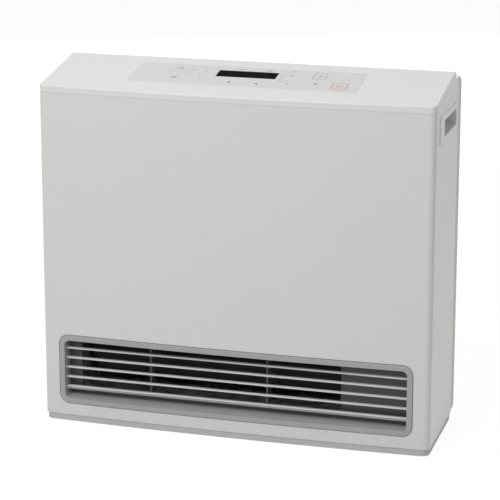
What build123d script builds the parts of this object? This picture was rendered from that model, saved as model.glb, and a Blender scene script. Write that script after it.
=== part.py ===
"""Domestic gas fan heater, built as separate named pieces.

Millimetres. X runs across the width, Y from front (-Y) to back (+Y), Z up.
The origin is at the middle of the footprint, on the floor.
"""

import math
import os

from build123d import *

os.makedirs("parts", exist_ok=True)

# Overall size
WIDTH = 440.0
DEPTH = 150.0
HEIGHT = 402.0
BOW = 5.0
CORNER_R = 7.0

# Levels of the shell
FOOT_PROUD = 0.6
BASE_TOP_Z = 8.0
SEAM_Z = HEIGHT - 25.0
COVER_EDGE_Z = HEIGHT - 17.6
LEDGE_Z = HEIGHT - 8.5

# Depths of the shell, from the plane of the front corners
CASING_RUN = DEPTH - 24.0
TOP_RUN = CASING_RUN - 17.0
FRONT_Y = -DEPTH / 2 + BOW
BACK_Y = DEPTH / 2
CASING_BACK_Y = FRONT_Y + CASING_RUN
TOP_BACK_Y = FRONT_Y + TOP_RUN

# Wall thicknesses and clearances
SHEET = 1.0
WALL = 2.2
REAR_WALL = 2.0
SLIP = 0.15
GAP = 0.3
RUNNING = 0.05

# Radius of the convex front, from the width and the bow
BOW_R = ((WIDTH / 2) ** 2 + BOW ** 2) / (2 * BOW)
BOW_CENTRE_Y = FRONT_Y - BOW + BOW_R

# Base plinth
BASE_INSET = 1.0
BASE_SKIN = 2.4
BASE_RIM_H = 6.0
BASE_RIM_T = 2.0
BASE_BACK_SETBACK = 2.0
FOOT_R = 9.0
FOOT_H = 3.4
FOOT_X = WIDTH / 2 - 30.0
FOOT_FRONT_Y = FRONT_Y + 24.0
FOOT_BACK_Y = CASING_BACK_Y - 18.0
BASE_SCREW_X = WIDTH / 2 - 60.0

# Casing details
RETURN_W = 20.0

# Top cover details
COVER_EDGE_R = 1.4
SKIRT_H = 6.0
SKIRT_T = 1.6

# Air outlet
OUTLET_SIDE = 19.0
OUTLET_W = WIDTH - 2 * OUTLET_SIDE
OUTLET_Z0 = 22.0
OUTLET_Z1 = 101.5
OUTLET_R = 11.0
BEZEL_BAR = 6.0
BEZEL_PROUD = 0.7
BEZEL_SKIN = 2.0
BEZEL_GAP = 0.8
BEZEL_LAP = 4.0
BEZEL_LAP_BACK = 2.6
SILL_RISE = 2.0
MOUTH_RUN = 15.0
OUTLET_H = OUTLET_Z1 - OUTLET_Z0
OUTLET_MID_Z = (OUTLET_Z0 + OUTLET_Z1) / 2
OPENING_W = OUTLET_W - 2 * BEZEL_BAR
OPENING_H = OUTLET_H - 2 * BEZEL_BAR + 0.5
OPENING_Z0 = OUTLET_Z0 + BEZEL_BAR - 0.5
OPENING_MID_Z = OPENING_Z0 + OPENING_H / 2
OPENING_R = OUTLET_R - BEZEL_BAR + 1.0

# Louvre
SLAT_COUNT = 5
SLAT_PITCH = OPENING_H / 6.018
SLAT_TOP_Z = OPENING_Z0 + OPENING_H - 10.7
SLAT_DEPTH = 4.6
SLAT_T = 2.0
SLAT_RUN = 4.0
SLAT_SEAT = 1.2
RIB_T = 1.6
RIB_XS = (-0.239 * OUTLET_W, 0.0945 * OUTLET_W)
RIB_FRONT_RUN = 6.5
RIB_SHOULDER = 2.0
LEDGE_T = 1.8
LEDGE_GAP = 0.3
LEDGE_ROUND = 0.7
SLAT_FRONT_Y = FRONT_Y + SLAT_RUN

SLAT_MID_Y = SLAT_FRONT_Y + SLAT_DEPTH / 2
SLAT_L = OPENING_W + 2 * SLAT_SEAT
RIB_DEPTH = 16.5

# Duct mouth and fan housing
MOUTH_Y = FRONT_Y + MOUTH_RUN
MOUTH_T = 1.2
MOUTH_LIP = 4.0
MOUTH_CORNER_R = 8.0
DUCT_X0 = -OPENING_W / 2 + 15.0
DUCT_X1 = OPENING_W / 2 - 76.0
DUCT_Z0 = OPENING_Z0 + 8.5
DUCT_Z1 = OPENING_Z0 + OPENING_H - 2.5
DUCT_CHAMFER = 4.0
PLATE_T = 1.2
PAN_INSET = 4.5
PAN_TOP_Z = BASE_TOP_Z + PLATE_T
PAN_BACK_Y = CASING_BACK_Y - 5.0
PAN_FLANGE_H = 16.0
FOOT_TAB = 7.0
HOUSING_FRONT_Y = MOUTH_Y + MOUTH_LIP
HOUSING_BACK_Y = CASING_BACK_Y - 10.0
SCROLL_UNDER = 4.5
SCROLL_BEHIND = 10.0

# Cross-flow fan
FAN_R = (CASING_RUN - 62.0) / 2
FAN_INNER_R = 0.766 * FAN_R
FAN_Y = MOUTH_Y + 23.0 + FAN_R
FAN_Z = (OUTLET_Z0 + OUTLET_Z1) / 2 + 8.25
FAN_END_GAP = 6.0
BLADE_COUNT = 30
BLADE_T = 0.9
BLADE_SWEEP = 15.0
BLADE_BULGE = 0.25
DISC_T = 1.5
DISC_R = FAN_R + 0.5
MID_DISCS = 3
HUB_R = 9.0
HUB_L = 8.0
SHAFT_R = 3.0
BUSH_R = 6.0
BUSH_L = 9.0
MOUNT_R = 13.0
MOTOR_R = FAN_R - 3.0
MOTOR_L = 38.0
MOTOR_GAP = 9.0
MOTOR_SHAFT_L = MOTOR_L - 12.0
MOTOR_SCREW_L = 7.0
ROTOR_X0 = DUCT_X0 + FAN_END_GAP
ROTOR_X1 = DUCT_X1 - FAN_END_GAP
MOTOR_X0 = DUCT_X1 + PLATE_T + MOTOR_GAP
BUSH_X0 = DUCT_X0 - PLATE_T / 2 - BUSH_L / 2
STUB_X0 = BUSH_X0 - 1.0
MOUNT_NECK_R = 10.0

# Combustion chamber and burner
CHAMBER_X0 = DUCT_X0 + 50.0
CHAMBER_X1 = DUCT_X1 - 29.0
CHAMBER_Y0 = FRONT_Y + 32.0
CHAMBER_Y1 = CASING_BACK_Y - 18.0
CHAMBER_Z0 = OUTLET_Z1 + 20.5
CHAMBER_Z1 = HEIGHT - 102.0
CHAMBER_T = 1.2
BURNER_X0 = CHAMBER_X0 + 35.0
BURNER_X1 = CHAMBER_X1 - 45.0
BURNER_W = 28.0
BURNER_H = 22.0
BURNER_Z = (CHAMBER_Z0 + CHAMBER_Z1) / 2 - 6.0
PORT_COUNT = 12
PORT_PITCH = (BURNER_X1 - BURNER_X0 - 14.0) / PORT_COUNT
PORT_W = 2.0
TUBE_R = 10.0
ROD_R = 3.0
TIP_R = 0.8
ROD_Z = BURNER_Z + BURNER_H + 8.0
SPARK_X = BURNER_X0 + 35.0
FLAME_X = BURNER_X1 - 30.0

# Upright and boards at the right
UPRIGHT_X1 = WIDTH / 2 - 13.0
UPRIGHT_X0 = UPRIGHT_X1 - 41.0
UPRIGHT_Y = CASING_BACK_Y - 18.0
BOARD_X0 = DUCT_X1 + 9.0
BOARD_Y = UPRIGHT_Y - 6.0
MAIN_BOARD_Z1 = HEIGHT - 72.0
MAIN_BOARD_Z0 = MAIN_BOARD_Z1 - 0.2935 * HEIGHT
UPRIGHT_TOP_Z = MAIN_BOARD_Z1 + 4.0

# Boxes on the floor pan: x from, x to, y from, y to, top z
IGNITER = (UPRIGHT_X1 - 31.0, UPRIGHT_X1 - 1.0, FRONT_Y + 22.0, FRONT_Y + 50.0, 42.0)
TIP_SWITCH = (UPRIGHT_X1 - 19.0, UPRIGHT_X1 - 1.0, FAN_Y - 6.0, FAN_Y + 12.0, 23.0)
LEAD_R = 2.0
THERMISTOR_X = UPRIGHT_X1 - 19.0
THERMISTOR_Z = MAIN_BOARD_Z1 - 26.0
LIMITER_X = DUCT_X0 + 120.0

# Panel on the sloping top
PANEL_W = 256.0
PANEL_L = 60.4
PANEL_MID_S = 58.6
PANEL_T = 0.5
PANEL_R = 1.5
WINDOW_W = 67.0
WINDOW_L = 19.6
WINDOW_X = -1.6
WINDOW_S = 66.5
WINDOW_T = 1.5
WINDOW_LEDGE = 1.6
KEY_FLANGE = 1.2
KEY_FLANGE_T = 1.0
KEY_LIFT = 0.1
KEY_TRAVEL = 0.5
STEM_R = 1.5
BOARD_DEPTH = 10.5
BOARD_T = 1.6
BOARD_W = 248.0
BOARD_L = 54.0
SWITCH_W = 6.0
SWITCH_H = 3.5
SWITCH_BUTTON_R = 1.7
SWITCH_BUTTON_H = 0.8

# Each key: name, x, distance up the slope, width, length
KEYS = (
    ("key_run_stop", 106.3, 45.9, 17.0, 19.2),
    ("key_eco", 78.7, 72.9, 15.0, 18.2),
    ("key_lock", 79.0, 49.0, 13.0, 13.0),
    ("key_temp_down", -15.2, 40.4, 20.0, 11.0),
    ("key_temp_up", 15.4, 40.4, 20.0, 11.0),
    ("key_timer_on", -80.3, 76.4, 14.0, 14.0),
    ("key_timer_off", -79.8, 47.4, 14.0, 13.0),
)

# Hand grips in the sides
GRIP_OPEN_Y0 = FRONT_Y + 44.5
GRIP_OPEN_Y1 = CASING_BACK_Y - 14.0
GRIP_OPEN_Z0 = HEIGHT - 58.5
GRIP_OPEN_Z1 = HEIGHT - 41.0
GRIP_MARGIN_FRONT = 22.5
GRIP_MARGIN_BACK = 6.0
GRIP_MARGIN_TOP = 7.5
GRIP_MARGIN_BOTTOM = 6.5
GRIP_DEPTH = 18.0
GRIP_SKIN = 1.8
GRIP_PROUD = 0.8
GRIP_RIM_R = 2.0

# Rear cover
REAR_BOTTOM_Z = 11.0
REAR_CHAMFER_Y = CASING_BACK_Y + 5.0
REAR_CHAMFER_Z = HEIGHT - 17.5
REAR_EDGE_R = 3.0
BOSS_R = 5.5
BOSS_XS = (-WIDTH / 2 + 13.0, WIDTH / 2 - 13.0)
BOSS_ZS = (110.0, HEIGHT / 2 + 24.0, HEIGHT - 62.0)
SCREW_R = 2.0
SCREW_HEAD_R = 3.8
SCREW_HEAD_H = 2.4
SCREW_L = 24.0
SCREW_SINK = 3.0
SCREW_CROSS_W = 0.8
SCREW_CROSS_H = 1.0

# Pockets in the rear cover for the gas plug and the cord
POCKET_FLOOR_Y = CASING_BACK_Y + 3.0
GAS_X = UPRIGHT_X1 - 57.0
GAS_POCKET_W = 62.0
GAS_POCKET_TOP_Z = 86.0
CORD_POCKET_X = -WIDTH / 2 + 42.0
CORD_POCKET_W = 40.0
CORD_POCKET_TOP_Z = 58.0
POCKETS = (
    (GAS_X, GAS_POCKET_W, GAS_POCKET_TOP_Z),
    (CORD_POCKET_X, CORD_POCKET_W, CORD_POCKET_TOP_Z),
)

# Air filter
FILTER_W = WIDTH - 96.0
FILTER_Z0 = 90.0
FILTER_Z1 = HEIGHT - 24.0
FILTER_T = 2.4
FILTER_BAR = 7.0
FILTER_FACE_Y = BACK_Y - REAR_WALL - 1.2
FILTER_FRONT_Y = FILTER_FACE_Y - FILTER_T
TAB_W = 60.0
TAB_TOP_Z = LEDGE_Z - 0.5
MESH_COLS = 12
MESH_ROWS = 10
MESH_WIRE = 1.2
MESH_T = 0.8

# Intake slots in front of the filter
SLOT_COLS = 6
SLOT_ROWS = 19
SLOT_BAR = 7.0
SLOT_PITCH_X = (FILTER_W - 2.0) / SLOT_COLS
SLOT_PITCH_Z = (FILTER_Z1 - FILTER_Z0 - 41.0) / SLOT_ROWS
SLOT_W = SLOT_PITCH_X - SLOT_BAR
SLOT_H = SLOT_PITCH_Z - SLOT_BAR
GRILLE_MID_Z = (FILTER_Z0 + FILTER_Z1) / 2 - 8.0
RAIL_T = 1.6
RAIL_LIP = 4.0

# Gas line
PLUG_R = 5.9
PLUG_L = 22.0
PLUG_GROOVE = 0.8
PLUG_Z = 62.0
ELBOW_MARGIN = 2.0
ELBOW_Y = POCKET_FLOOR_Y + PLUG_R + ELBOW_MARGIN
PIPE_R = 4.5
PIPE_Y = CASING_BACK_Y - 9.0
VALVE_X0 = UPRIGHT_X1 - 69.0
VALVE_W = 56.0
VALVE_D = 28.0
VALVE_H = 30.0
VALVE_Y1 = UPRIGHT_Y
VALVE_Y0 = VALVE_Y1 - VALVE_D
VALVE_Z0 = MAIN_BOARD_Z0 - 56.0
FEED_X = DUCT_X1 + 7.0

# Cord gland
GLAND_BORE_R = 3.6
GLAND_R = 6.0
GLAND_Z = 36.0


def front_y(x, inset=0.0):
    """Y of the convex front surface at x, moved inwards by inset."""
    return BOW_CENTRE_Y - math.sqrt((BOW_R - inset) ** 2 - x ** 2)


def plan_outline(inset, back_y, corner_r):
    """Plan of the heater: convex front, rounded front corners, straight back."""
    half = WIDTH / 2 - inset
    side_y = front_y(half, inset)
    with BuildSketch() as outline:
        with BuildLine():
            ThreePointArc((-half, side_y), (0, front_y(0, inset)), (half, side_y))
            Polyline((half, side_y), (half, back_y), (-half, back_y), (-half, side_y))
        make_face()
        fillet(outline.vertices().group_by(Axis.Y)[0], corner_r)
    return outline.sketch


def facing_plane(y, z=0.0):
    """Plane that faces the front, with X across and Z up."""
    return Plane(origin=(0, y, z), x_dir=(1, 0, 0), z_dir=(0, -1, 0))


def across_plane(x, y=0.0, z=0.0):
    """Plane that faces +X, with Y and Z as its own axes."""
    return Plane(origin=(x, y, z), x_dir=(0, 1, 0), z_dir=(1, 0, 0))


def block(x_range, y_range, z_range):
    """Private box between the given limits."""
    size = [high - low for low, high in (x_range, y_range, z_range)]
    middle = [(high + low) / 2 for low, high in (x_range, y_range, z_range)]
    with BuildPart() as box:
        with Locations(tuple(middle)):
            Box(*size)
    return box.part


SLOPE = math.atan2(HEIGHT - COVER_EDGE_Z, TOP_RUN)


def slope_plane(depth=0.0):
    """Plane on the sloping top, depth below its surface; Y runs up the slope."""
    top = Plane(
        origin=(0, FRONT_Y, COVER_EDGE_Z),
        x_dir=(1, 0, 0),
        z_dir=(0, -math.sin(SLOPE), math.cos(SLOPE)),
    )
    return top.offset(-depth)


def under_roof(inset, low_z, back_y):
    """Solid under the sloping roof and its rear ledge, moved inwards by inset."""
    drop = inset / math.cos(SLOPE)
    front = FRONT_Y - BOW - 5
    front_z = COVER_EDGE_Z - drop + (front - FRONT_Y) * math.tan(SLOPE)
    riser = TOP_BACK_Y - inset
    riser_z = COVER_EDGE_Z - drop + (riser - FRONT_Y) * math.tan(SLOPE)
    with BuildPart() as body:
        with BuildSketch(Plane.XY.offset(low_z)):
            add(plan_outline(inset, back_y, CORNER_R - inset))
        extrude(amount=HEIGHT - low_z)
        with BuildSketch(Plane.YZ):
            with BuildLine():
                Polyline(
                    (front, low_z),
                    (front, front_z),
                    (riser, riser_z),
                    (riser, LEDGE_Z - inset),
                    (back_y, LEDGE_Z - inset),
                    (back_y, low_z),
                    (front, low_z),
                )
            make_face()
        extrude(amount=WIDTH, both=True, mode=Mode.INTERSECT)
    return body.part


def outlet_rectangle(growth):
    """Rounded outline of the outlet, grown by the given amount all round."""
    with BuildSketch() as outline:
        with Locations((0, OUTLET_MID_Z)):
            RectangleRounded(OUTLET_W + 2 * growth, OUTLET_H + 2 * growth, OUTLET_R + growth)
    return outline.sketch


def opening_rectangle(growth):
    """Rounded outline of the clear opening inside the bezel."""
    with BuildSketch() as outline:
        with Locations((0, OPENING_MID_Z)):
            RectangleRounded(OPENING_W + 2 * growth, OPENING_H + 2 * growth, OPENING_R + growth)
    return outline.sketch


def front_band(outside, inside):
    """Solid band that follows the convex front between two insets."""
    with BuildPart() as band:
        with BuildSketch():
            add(plan_outline(outside, BACK_Y, CORNER_R))
            add(plan_outline(inside, BACK_Y + 1, CORNER_R), mode=Mode.SUBTRACT)
        extrude(amount=HEIGHT)
    return band.part


# Shell of the heater


def make_front_casing():
    """Sheet bent round the front and both sides, with returns at the back."""
    wall_h = SEAM_Z - BASE_TOP_Z
    with BuildPart() as casing:
        with BuildSketch(Plane.XY.offset(BASE_TOP_Z)):
            add(plan_outline(0, CASING_BACK_Y, CORNER_R))
            add(plan_outline(SHEET, CASING_BACK_Y + 1, CORNER_R - SHEET), mode=Mode.SUBTRACT)
            with Locations((0, CASING_BACK_Y - SHEET / 2)):
                with GridLocations(WIDTH - RETURN_W, 0, 2, 1):
                    Rectangle(RETURN_W, SHEET)
        extrude(amount=wall_h)
        with BuildSketch(facing_plane(FRONT_Y + 20)):
            add(outlet_rectangle(BEZEL_GAP))
        extrude(amount=40, mode=Mode.SUBTRACT)
        with BuildSketch(Plane.YZ):
            add(grip_body_outline(GAP))
        extrude(amount=WIDTH, both=True, mode=Mode.SUBTRACT)
        with BuildSketch(facing_plane(CASING_BACK_Y + 1)):
            add(boss_circles(SCREW_R + SLIP))
        extrude(amount=4, mode=Mode.SUBTRACT)
    return casing


def boss_circles(radius):
    """One circle for each rear cover screw."""
    height = BOSS_ZS[-1] - BOSS_ZS[0]
    with BuildSketch() as circles:
        with Locations((0, (BOSS_ZS[0] + BOSS_ZS[-1]) / 2)):
            with GridLocations(BOSS_XS[1] - BOSS_XS[0], height / 2, 2, 3):
                Circle(radius)
    return circles.sketch


def make_top_cover():
    """Moulded top: sloping roof, rear ledge, skirt, pockets for panel and keys."""
    skirt_inset = SHEET + GAP
    with BuildPart() as cover:
        add(under_roof(0, SEAM_Z, CASING_BACK_Y))
        roof_edges = cover.faces().filter_by(
            lambda face: abs(face.normal_at().Z - math.cos(SLOPE)) < 1e-3
        )[0].edges()
        fillet(roof_edges, COVER_EDGE_R)
        add(under_roof(WALL, SEAM_Z - 1, CASING_BACK_Y + 1), mode=Mode.SUBTRACT)
        with BuildSketch(Plane.XY.offset(SEAM_Z - SKIRT_H)):
            add(plan_outline(skirt_inset, CASING_BACK_Y - 2, CORNER_R - skirt_inset))
            add(
                plan_outline(skirt_inset + SKIRT_T, CASING_BACK_Y, CORNER_R - skirt_inset - SKIRT_T),
                mode=Mode.SUBTRACT,
            )
        extrude(amount=SKIRT_H + WALL)
        with BuildSketch(slope_plane()):
            with Locations((0, PANEL_MID_S)):
                RectangleRounded(PANEL_W + 2 * SLIP, PANEL_L + 2 * SLIP, PANEL_R + SLIP)
        extrude(amount=-PANEL_T, mode=Mode.SUBTRACT)
        with BuildSketch(slope_plane()):
            with Locations((WINDOW_X, WINDOW_S)):
                Rectangle(WINDOW_W + 2 * SLIP, WINDOW_L + 2 * SLIP)
        extrude(amount=-WINDOW_T, mode=Mode.SUBTRACT)
        with BuildSketch(slope_plane()):
            with Locations((WINDOW_X, WINDOW_S)):
                Rectangle(WINDOW_W - 2 * WINDOW_LEDGE, WINDOW_L - 2 * WINDOW_LEDGE)
            for _, x, s, width, length in KEYS:
                with Locations((x, s)):
                    RectangleRounded(width + 2 * SLIP, length + 2 * SLIP, PANEL_R + SLIP)
        extrude(amount=-2 * WALL, mode=Mode.SUBTRACT)
        with BuildSketch(slope_plane(WALL)):
            with Locations((0, PANEL_MID_S)):
                with GridLocations(BOARD_W - 10, BOARD_L - 8, 2, 2):
                    Circle(3)
        extrude(amount=-(BOARD_DEPTH - WALL))
    return cover


def make_panel_sheet():
    """Printed film let into the top, open for the window and the keys."""
    with BuildPart() as sheet:
        with BuildSketch(slope_plane()):
            with Locations((0, PANEL_MID_S)):
                RectangleRounded(PANEL_W, PANEL_L, PANEL_R)
            with Locations((WINDOW_X, WINDOW_S)):
                Rectangle(WINDOW_W + 2 * SLIP, WINDOW_L + 2 * SLIP, mode=Mode.SUBTRACT)
            for _, x, s, width, length in KEYS:
                with Locations((x, s)):
                    RectangleRounded(
                        width + 2 * SLIP, length + 2 * SLIP, PANEL_R + SLIP, mode=Mode.SUBTRACT
                    )
        extrude(amount=-PANEL_T)
    return sheet


def make_display_window():
    """Dark lens flush with the panel sheet."""
    with BuildPart() as window:
        with BuildSketch(slope_plane()):
            with Locations((WINDOW_X, WINDOW_S)):
                Rectangle(WINDOW_W, WINDOW_L)
        extrude(amount=-WINDOW_T)
    return window


def make_key(x, s, width, length):
    """Key pad with a hidden flange that holds it in and a stem to its switch."""
    flange_top = WALL + KEY_LIFT
    stem_end = BOARD_DEPTH - SWITCH_H - SWITCH_BUTTON_H - KEY_TRAVEL - KEY_LIFT
    with BuildPart() as key:
        with BuildSketch(slope_plane()):
            with Locations((x, s)):
                RectangleRounded(width, length, PANEL_R)
        extrude(amount=-flange_top)
        with BuildSketch(slope_plane(flange_top)):
            with Locations((x, s)):
                Rectangle(width + 2 * KEY_FLANGE, length + 2 * KEY_FLANGE)
        extrude(amount=-KEY_FLANGE_T)
        with BuildSketch(slope_plane(flange_top)):
            with Locations((x, s)):
                Circle(STEM_R)
        extrude(amount=-(stem_end - flange_top))
    return key


def make_base_plinth():
    """Moulded plinth: skin, outer wall, cross ribs, locating rim and foot sockets."""
    back_y = CASING_BACK_Y - BASE_BACK_SETBACK
    rim_inset = SHEET + GAP
    wall = BASE_SKIN
    with BuildPart() as base:
        with BuildSketch(Plane.XY.offset(FOOT_PROUD)):
            add(plan_outline(BASE_INSET, back_y, CORNER_R + 2))
        extrude(amount=BASE_TOP_Z - FOOT_PROUD)
        with BuildSketch(Plane.XY.offset(FOOT_PROUD)):
            add(plan_outline(BASE_INSET + wall, back_y - wall, CORNER_R))
            with GridLocations(80, 0, 5, 1):
                Rectangle(wall, DEPTH, mode=Mode.SUBTRACT)
            with Locations((0, -4)):
                Rectangle(WIDTH, wall, mode=Mode.SUBTRACT)
            with Locations(*foot_places()):
                Circle(FOOT_R + wall, mode=Mode.SUBTRACT)
            with Locations(*base_screw_places()):
                Circle(BOSS_R, mode=Mode.SUBTRACT)
        extrude(amount=BASE_TOP_Z - BASE_SKIN - FOOT_PROUD, mode=Mode.SUBTRACT)
        with BuildSketch(Plane.XY.offset(BASE_TOP_Z)):
            add(plan_outline(rim_inset, back_y, CORNER_R - rim_inset))
            add(
                plan_outline(rim_inset + BASE_RIM_T, back_y - BASE_RIM_T, CORNER_R - rim_inset),
                mode=Mode.SUBTRACT,
            )
        extrude(amount=BASE_RIM_H)
        with BuildSketch(Plane.XY):
            with Locations(*foot_places()):
                Circle(FOOT_R + SLIP)
        extrude(amount=FOOT_H, mode=Mode.SUBTRACT)
        with BuildSketch(Plane.XY):
            with Locations(*base_screw_places()):
                Circle(SCREW_R + SLIP)
        extrude(amount=BASE_TOP_Z + 1, mode=Mode.SUBTRACT)
        with BuildSketch(Plane.XY):
            with Locations(*base_screw_places()):
                Circle(SCREW_HEAD_R + GAP)
        extrude(amount=FOOT_PROUD + SCREW_HEAD_H + 0.6, mode=Mode.SUBTRACT)
    return base


def foot_places():
    """Centres of the four feet."""
    return [(x, y) for x in (-FOOT_X, FOOT_X) for y in (FOOT_FRONT_Y, FOOT_BACK_Y)]


def base_screw_places():
    """Centres of the screws that hold the floor pan to the base."""
    return [(x, y) for x in (-BASE_SCREW_X, BASE_SCREW_X) for y in (FOOT_FRONT_Y, FOOT_BACK_Y)]


def make_base_feet():
    """Four rubber pads, each in its socket."""
    with BuildPart() as feet:
        with BuildSketch(Plane.XY):
            with Locations(*foot_places()):
                Circle(FOOT_R)
        extrude(amount=FOOT_H)
        chamfer(feet.edges().group_by(Axis.Z)[0], 0.5)
    return feet


def make_screws(places, outward, length):
    """Pan-head screws: heads stand outward from each place, shanks go the other way."""
    with BuildPart() as screws:
        for place in places:
            seat = Plane(origin=place, z_dir=outward)
            with BuildSketch(seat):
                Circle(SCREW_HEAD_R)
            extrude(amount=SCREW_HEAD_H)
            with BuildSketch(seat):
                Circle(SCREW_R)
            extrude(amount=-length)
            with BuildSketch(seat.offset(SCREW_HEAD_H)):
                Rectangle(SCREW_HEAD_R * 1.1, SCREW_CROSS_W)
                Rectangle(SCREW_CROSS_W, SCREW_HEAD_R * 1.1)
            extrude(amount=-SCREW_CROSS_H, mode=Mode.SUBTRACT)
    return screws


# Hand grips


def grip_body_outline(growth):
    """Outline of the grip cup on the YZ plane, grown all round."""
    y0, y1 = GRIP_OPEN_Y0 - GRIP_SKIN, GRIP_OPEN_Y1 + GRIP_SKIN
    z0, z1 = GRIP_OPEN_Z0 - GRIP_SKIN, GRIP_OPEN_Z1 + GRIP_SKIN
    with BuildSketch() as outline:
        with Locations(((y0 + y1) / 2, (z0 + z1) / 2)):
            Rectangle(y1 - y0 + 2 * growth, z1 - z0 + 2 * growth)
    return outline.sketch


def make_grip(side):
    """Moulded hand grip for one side: a flange outside and a cup behind it."""
    outer_x = WIDTH / 2 + GRIP_PROUD if side > 0 else -WIDTH / 2 - GRIP_PROUD
    face = across_plane(outer_x)
    flange_y = (GRIP_OPEN_Y0 - GRIP_MARGIN_FRONT, GRIP_OPEN_Y1 + GRIP_MARGIN_BACK)
    flange_z = (GRIP_OPEN_Z0 - GRIP_MARGIN_BOTTOM, GRIP_OPEN_Z1 + GRIP_MARGIN_TOP)
    open_mid = ((GRIP_OPEN_Y0 + GRIP_OPEN_Y1) / 2, (GRIP_OPEN_Z0 + GRIP_OPEN_Z1) / 2)
    open_size = (GRIP_OPEN_Y1 - GRIP_OPEN_Y0, GRIP_OPEN_Z1 - GRIP_OPEN_Z0)
    with BuildPart() as grip:
        with BuildSketch(face):
            with Locations((sum(flange_y) / 2, sum(flange_z) / 2)):
                RectangleRounded(flange_y[1] - flange_y[0], flange_z[1] - flange_z[0], 4)
        extrude(amount=-side * GRIP_PROUD)
        with BuildSketch(face):
            add(grip_body_outline(0))
        extrude(amount=-side * (GRIP_DEPTH + GRIP_SKIN))
        with BuildSketch(face):
            with Locations(open_mid):
                RectangleRounded(*open_size, GRIP_RIM_R)
        extrude(amount=-side * GRIP_DEPTH, mode=Mode.SUBTRACT)
        outer = grip.faces().sort_by(Axis.X)[-1 if side > 0 else 0]
        chamfer(outer.edges(), GRIP_PROUD * 0.7)
    return grip


# Air outlet


def behind_front(outline, outside, inside):
    """An outline on the front, as a layer between two insets of the convex front."""
    with BuildPart() as layer:
        with BuildSketch(facing_plane(MOUTH_Y)):
            add(outline)
        extrude(amount=DEPTH / 4)
        add(front_band(outside, inside), mode=Mode.INTERSECT)
    return layer.part


def sill_wedge():
    """Sill inside the bezel: it rises towards the duct and follows the front."""
    front = FRONT_Y - BOW - BEZEL_PROUD
    under_z = OPENING_Z0 - BEZEL_SKIN / 2
    with BuildPart() as sill:
        with BuildSketch(across_plane(-OPENING_W / 2)):
            with BuildLine():
                Polyline(
                    (front, OPENING_Z0),
                    (MOUTH_Y, OPENING_Z0 + SILL_RISE),
                    (MOUTH_Y, under_z),
                    (front, under_z),
                    (front, OPENING_Z0),
                )
            make_face()
        extrude(amount=OPENING_W)
        add(front_band(-BEZEL_PROUD, DEPTH / 4), mode=Mode.INTERSECT)
    return sill.part


def ledge_top():
    """Height of the ledge that stands just under the lowest slat."""
    return slat_heights()[-1] - SLAT_T / 2 - LEDGE_GAP


def slat_ledge():
    """Ledge across the throat under the lowest slat, with a rounded nose."""
    nose = SLAT_FRONT_Y + LEDGE_T / 2
    middle = (0, (nose + MOUTH_Y) / 2, ledge_top() - LEDGE_T / 2)
    with BuildPart() as ledge:
        with Locations(middle):
            Box(OPENING_W, MOUTH_Y - nose, LEDGE_T)
        fillet(ledge.edges().filter_by(Axis.X).group_by(Axis.Y)[0], LEDGE_ROUND)
    return ledge.part


def make_outlet_bezel():
    """Grey frame: curved ring, lap behind the casing, throat, sloping sill and ledge."""
    with BuildPart() as bezel:
        add(behind_front(outlet_rectangle(0), -BEZEL_PROUD, BEZEL_LAP_BACK))
        add(behind_front(outlet_rectangle(BEZEL_LAP), SHEET + RUNNING, BEZEL_LAP_BACK))
        add(behind_front(opening_rectangle(BEZEL_SKIN), -BEZEL_PROUD, DEPTH / 4))
        with BuildSketch(facing_plane(MOUTH_Y - MOUTH_RUN * 2)):
            add(opening_rectangle(0))
        extrude(amount=-MOUTH_RUN * 3, mode=Mode.SUBTRACT)
        add(sill_wedge())
        add(slat_ledge())
        for z in slat_heights():
            with BuildSketch(across_plane(-SLAT_L / 2 - RUNNING, SLAT_MID_Y, z)):
                SlotOverall(SLAT_DEPTH + 2 * RUNNING, SLAT_T + 2 * RUNNING)
            extrude(amount=SLAT_L + 2 * RUNNING, mode=Mode.SUBTRACT)
        ring_edges = bezel.faces().filter_by(
            lambda face: face.center().Y < FRONT_Y and face.area > OUTLET_W
        )
        chamfer(ring_edges.sort_by(Axis.Y)[0].outer_wire().edges(), BEZEL_PROUD * 0.6)
    return bezel


def slat_heights():
    """Heights of the louvre slats, from the top one down."""
    return [SLAT_TOP_Z - index * SLAT_PITCH for index in range(SLAT_COUNT)]


def make_slat(z):
    """One louvre slat with round edges, long enough to seat in the bezel."""
    with BuildPart() as slat:
        with BuildSketch(across_plane(-SLAT_L / 2, SLAT_MID_Y, z)):
            SlotOverall(SLAT_DEPTH, SLAT_T)
        extrude(amount=SLAT_L)
    return slat


def make_rib(x):
    """Upright rib on the ledge, behind the slats, notched round each, with shoulders."""
    front = FRONT_Y + RIB_FRONT_RUN
    lowest_z = slat_heights()[-1]
    slat_back = SLAT_FRONT_Y + SLAT_DEPTH + RUNNING
    top_z = OPENING_Z0 + OPENING_H
    with BuildPart() as rib:
        with BuildSketch(across_plane(x - RIB_T / 2)):
            with BuildLine():
                Polyline(
                    (front, lowest_z),
                    (slat_back, lowest_z),
                    (slat_back, ledge_top()),
                    (front + RIB_DEPTH, ledge_top()),
                    (front + RIB_DEPTH, DUCT_Z1 - GAP),
                    (MOUTH_Y - GAP, DUCT_Z1 - GAP),
                    (MOUTH_Y - GAP, top_z),
                    (front, top_z),
                    (front, lowest_z),
                )
            make_face()
        extrude(amount=RIB_T)
        for z in slat_heights()[:-1]:
            with Locations((x, front + RIB_SHOULDER / 2, z - SLAT_T)):
                Box(RIB_T + 2 * RIB_SHOULDER, RIB_SHOULDER, SLAT_T)
        for z in slat_heights():
            with BuildSketch(across_plane(x - RIB_T * 3, SLAT_MID_Y, z)):
                SlotOverall(SLAT_DEPTH + 2 * RUNNING, SLAT_T + 2 * RUNNING)
            extrude(amount=RIB_T * 6, mode=Mode.SUBTRACT)
    return rib


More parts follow.
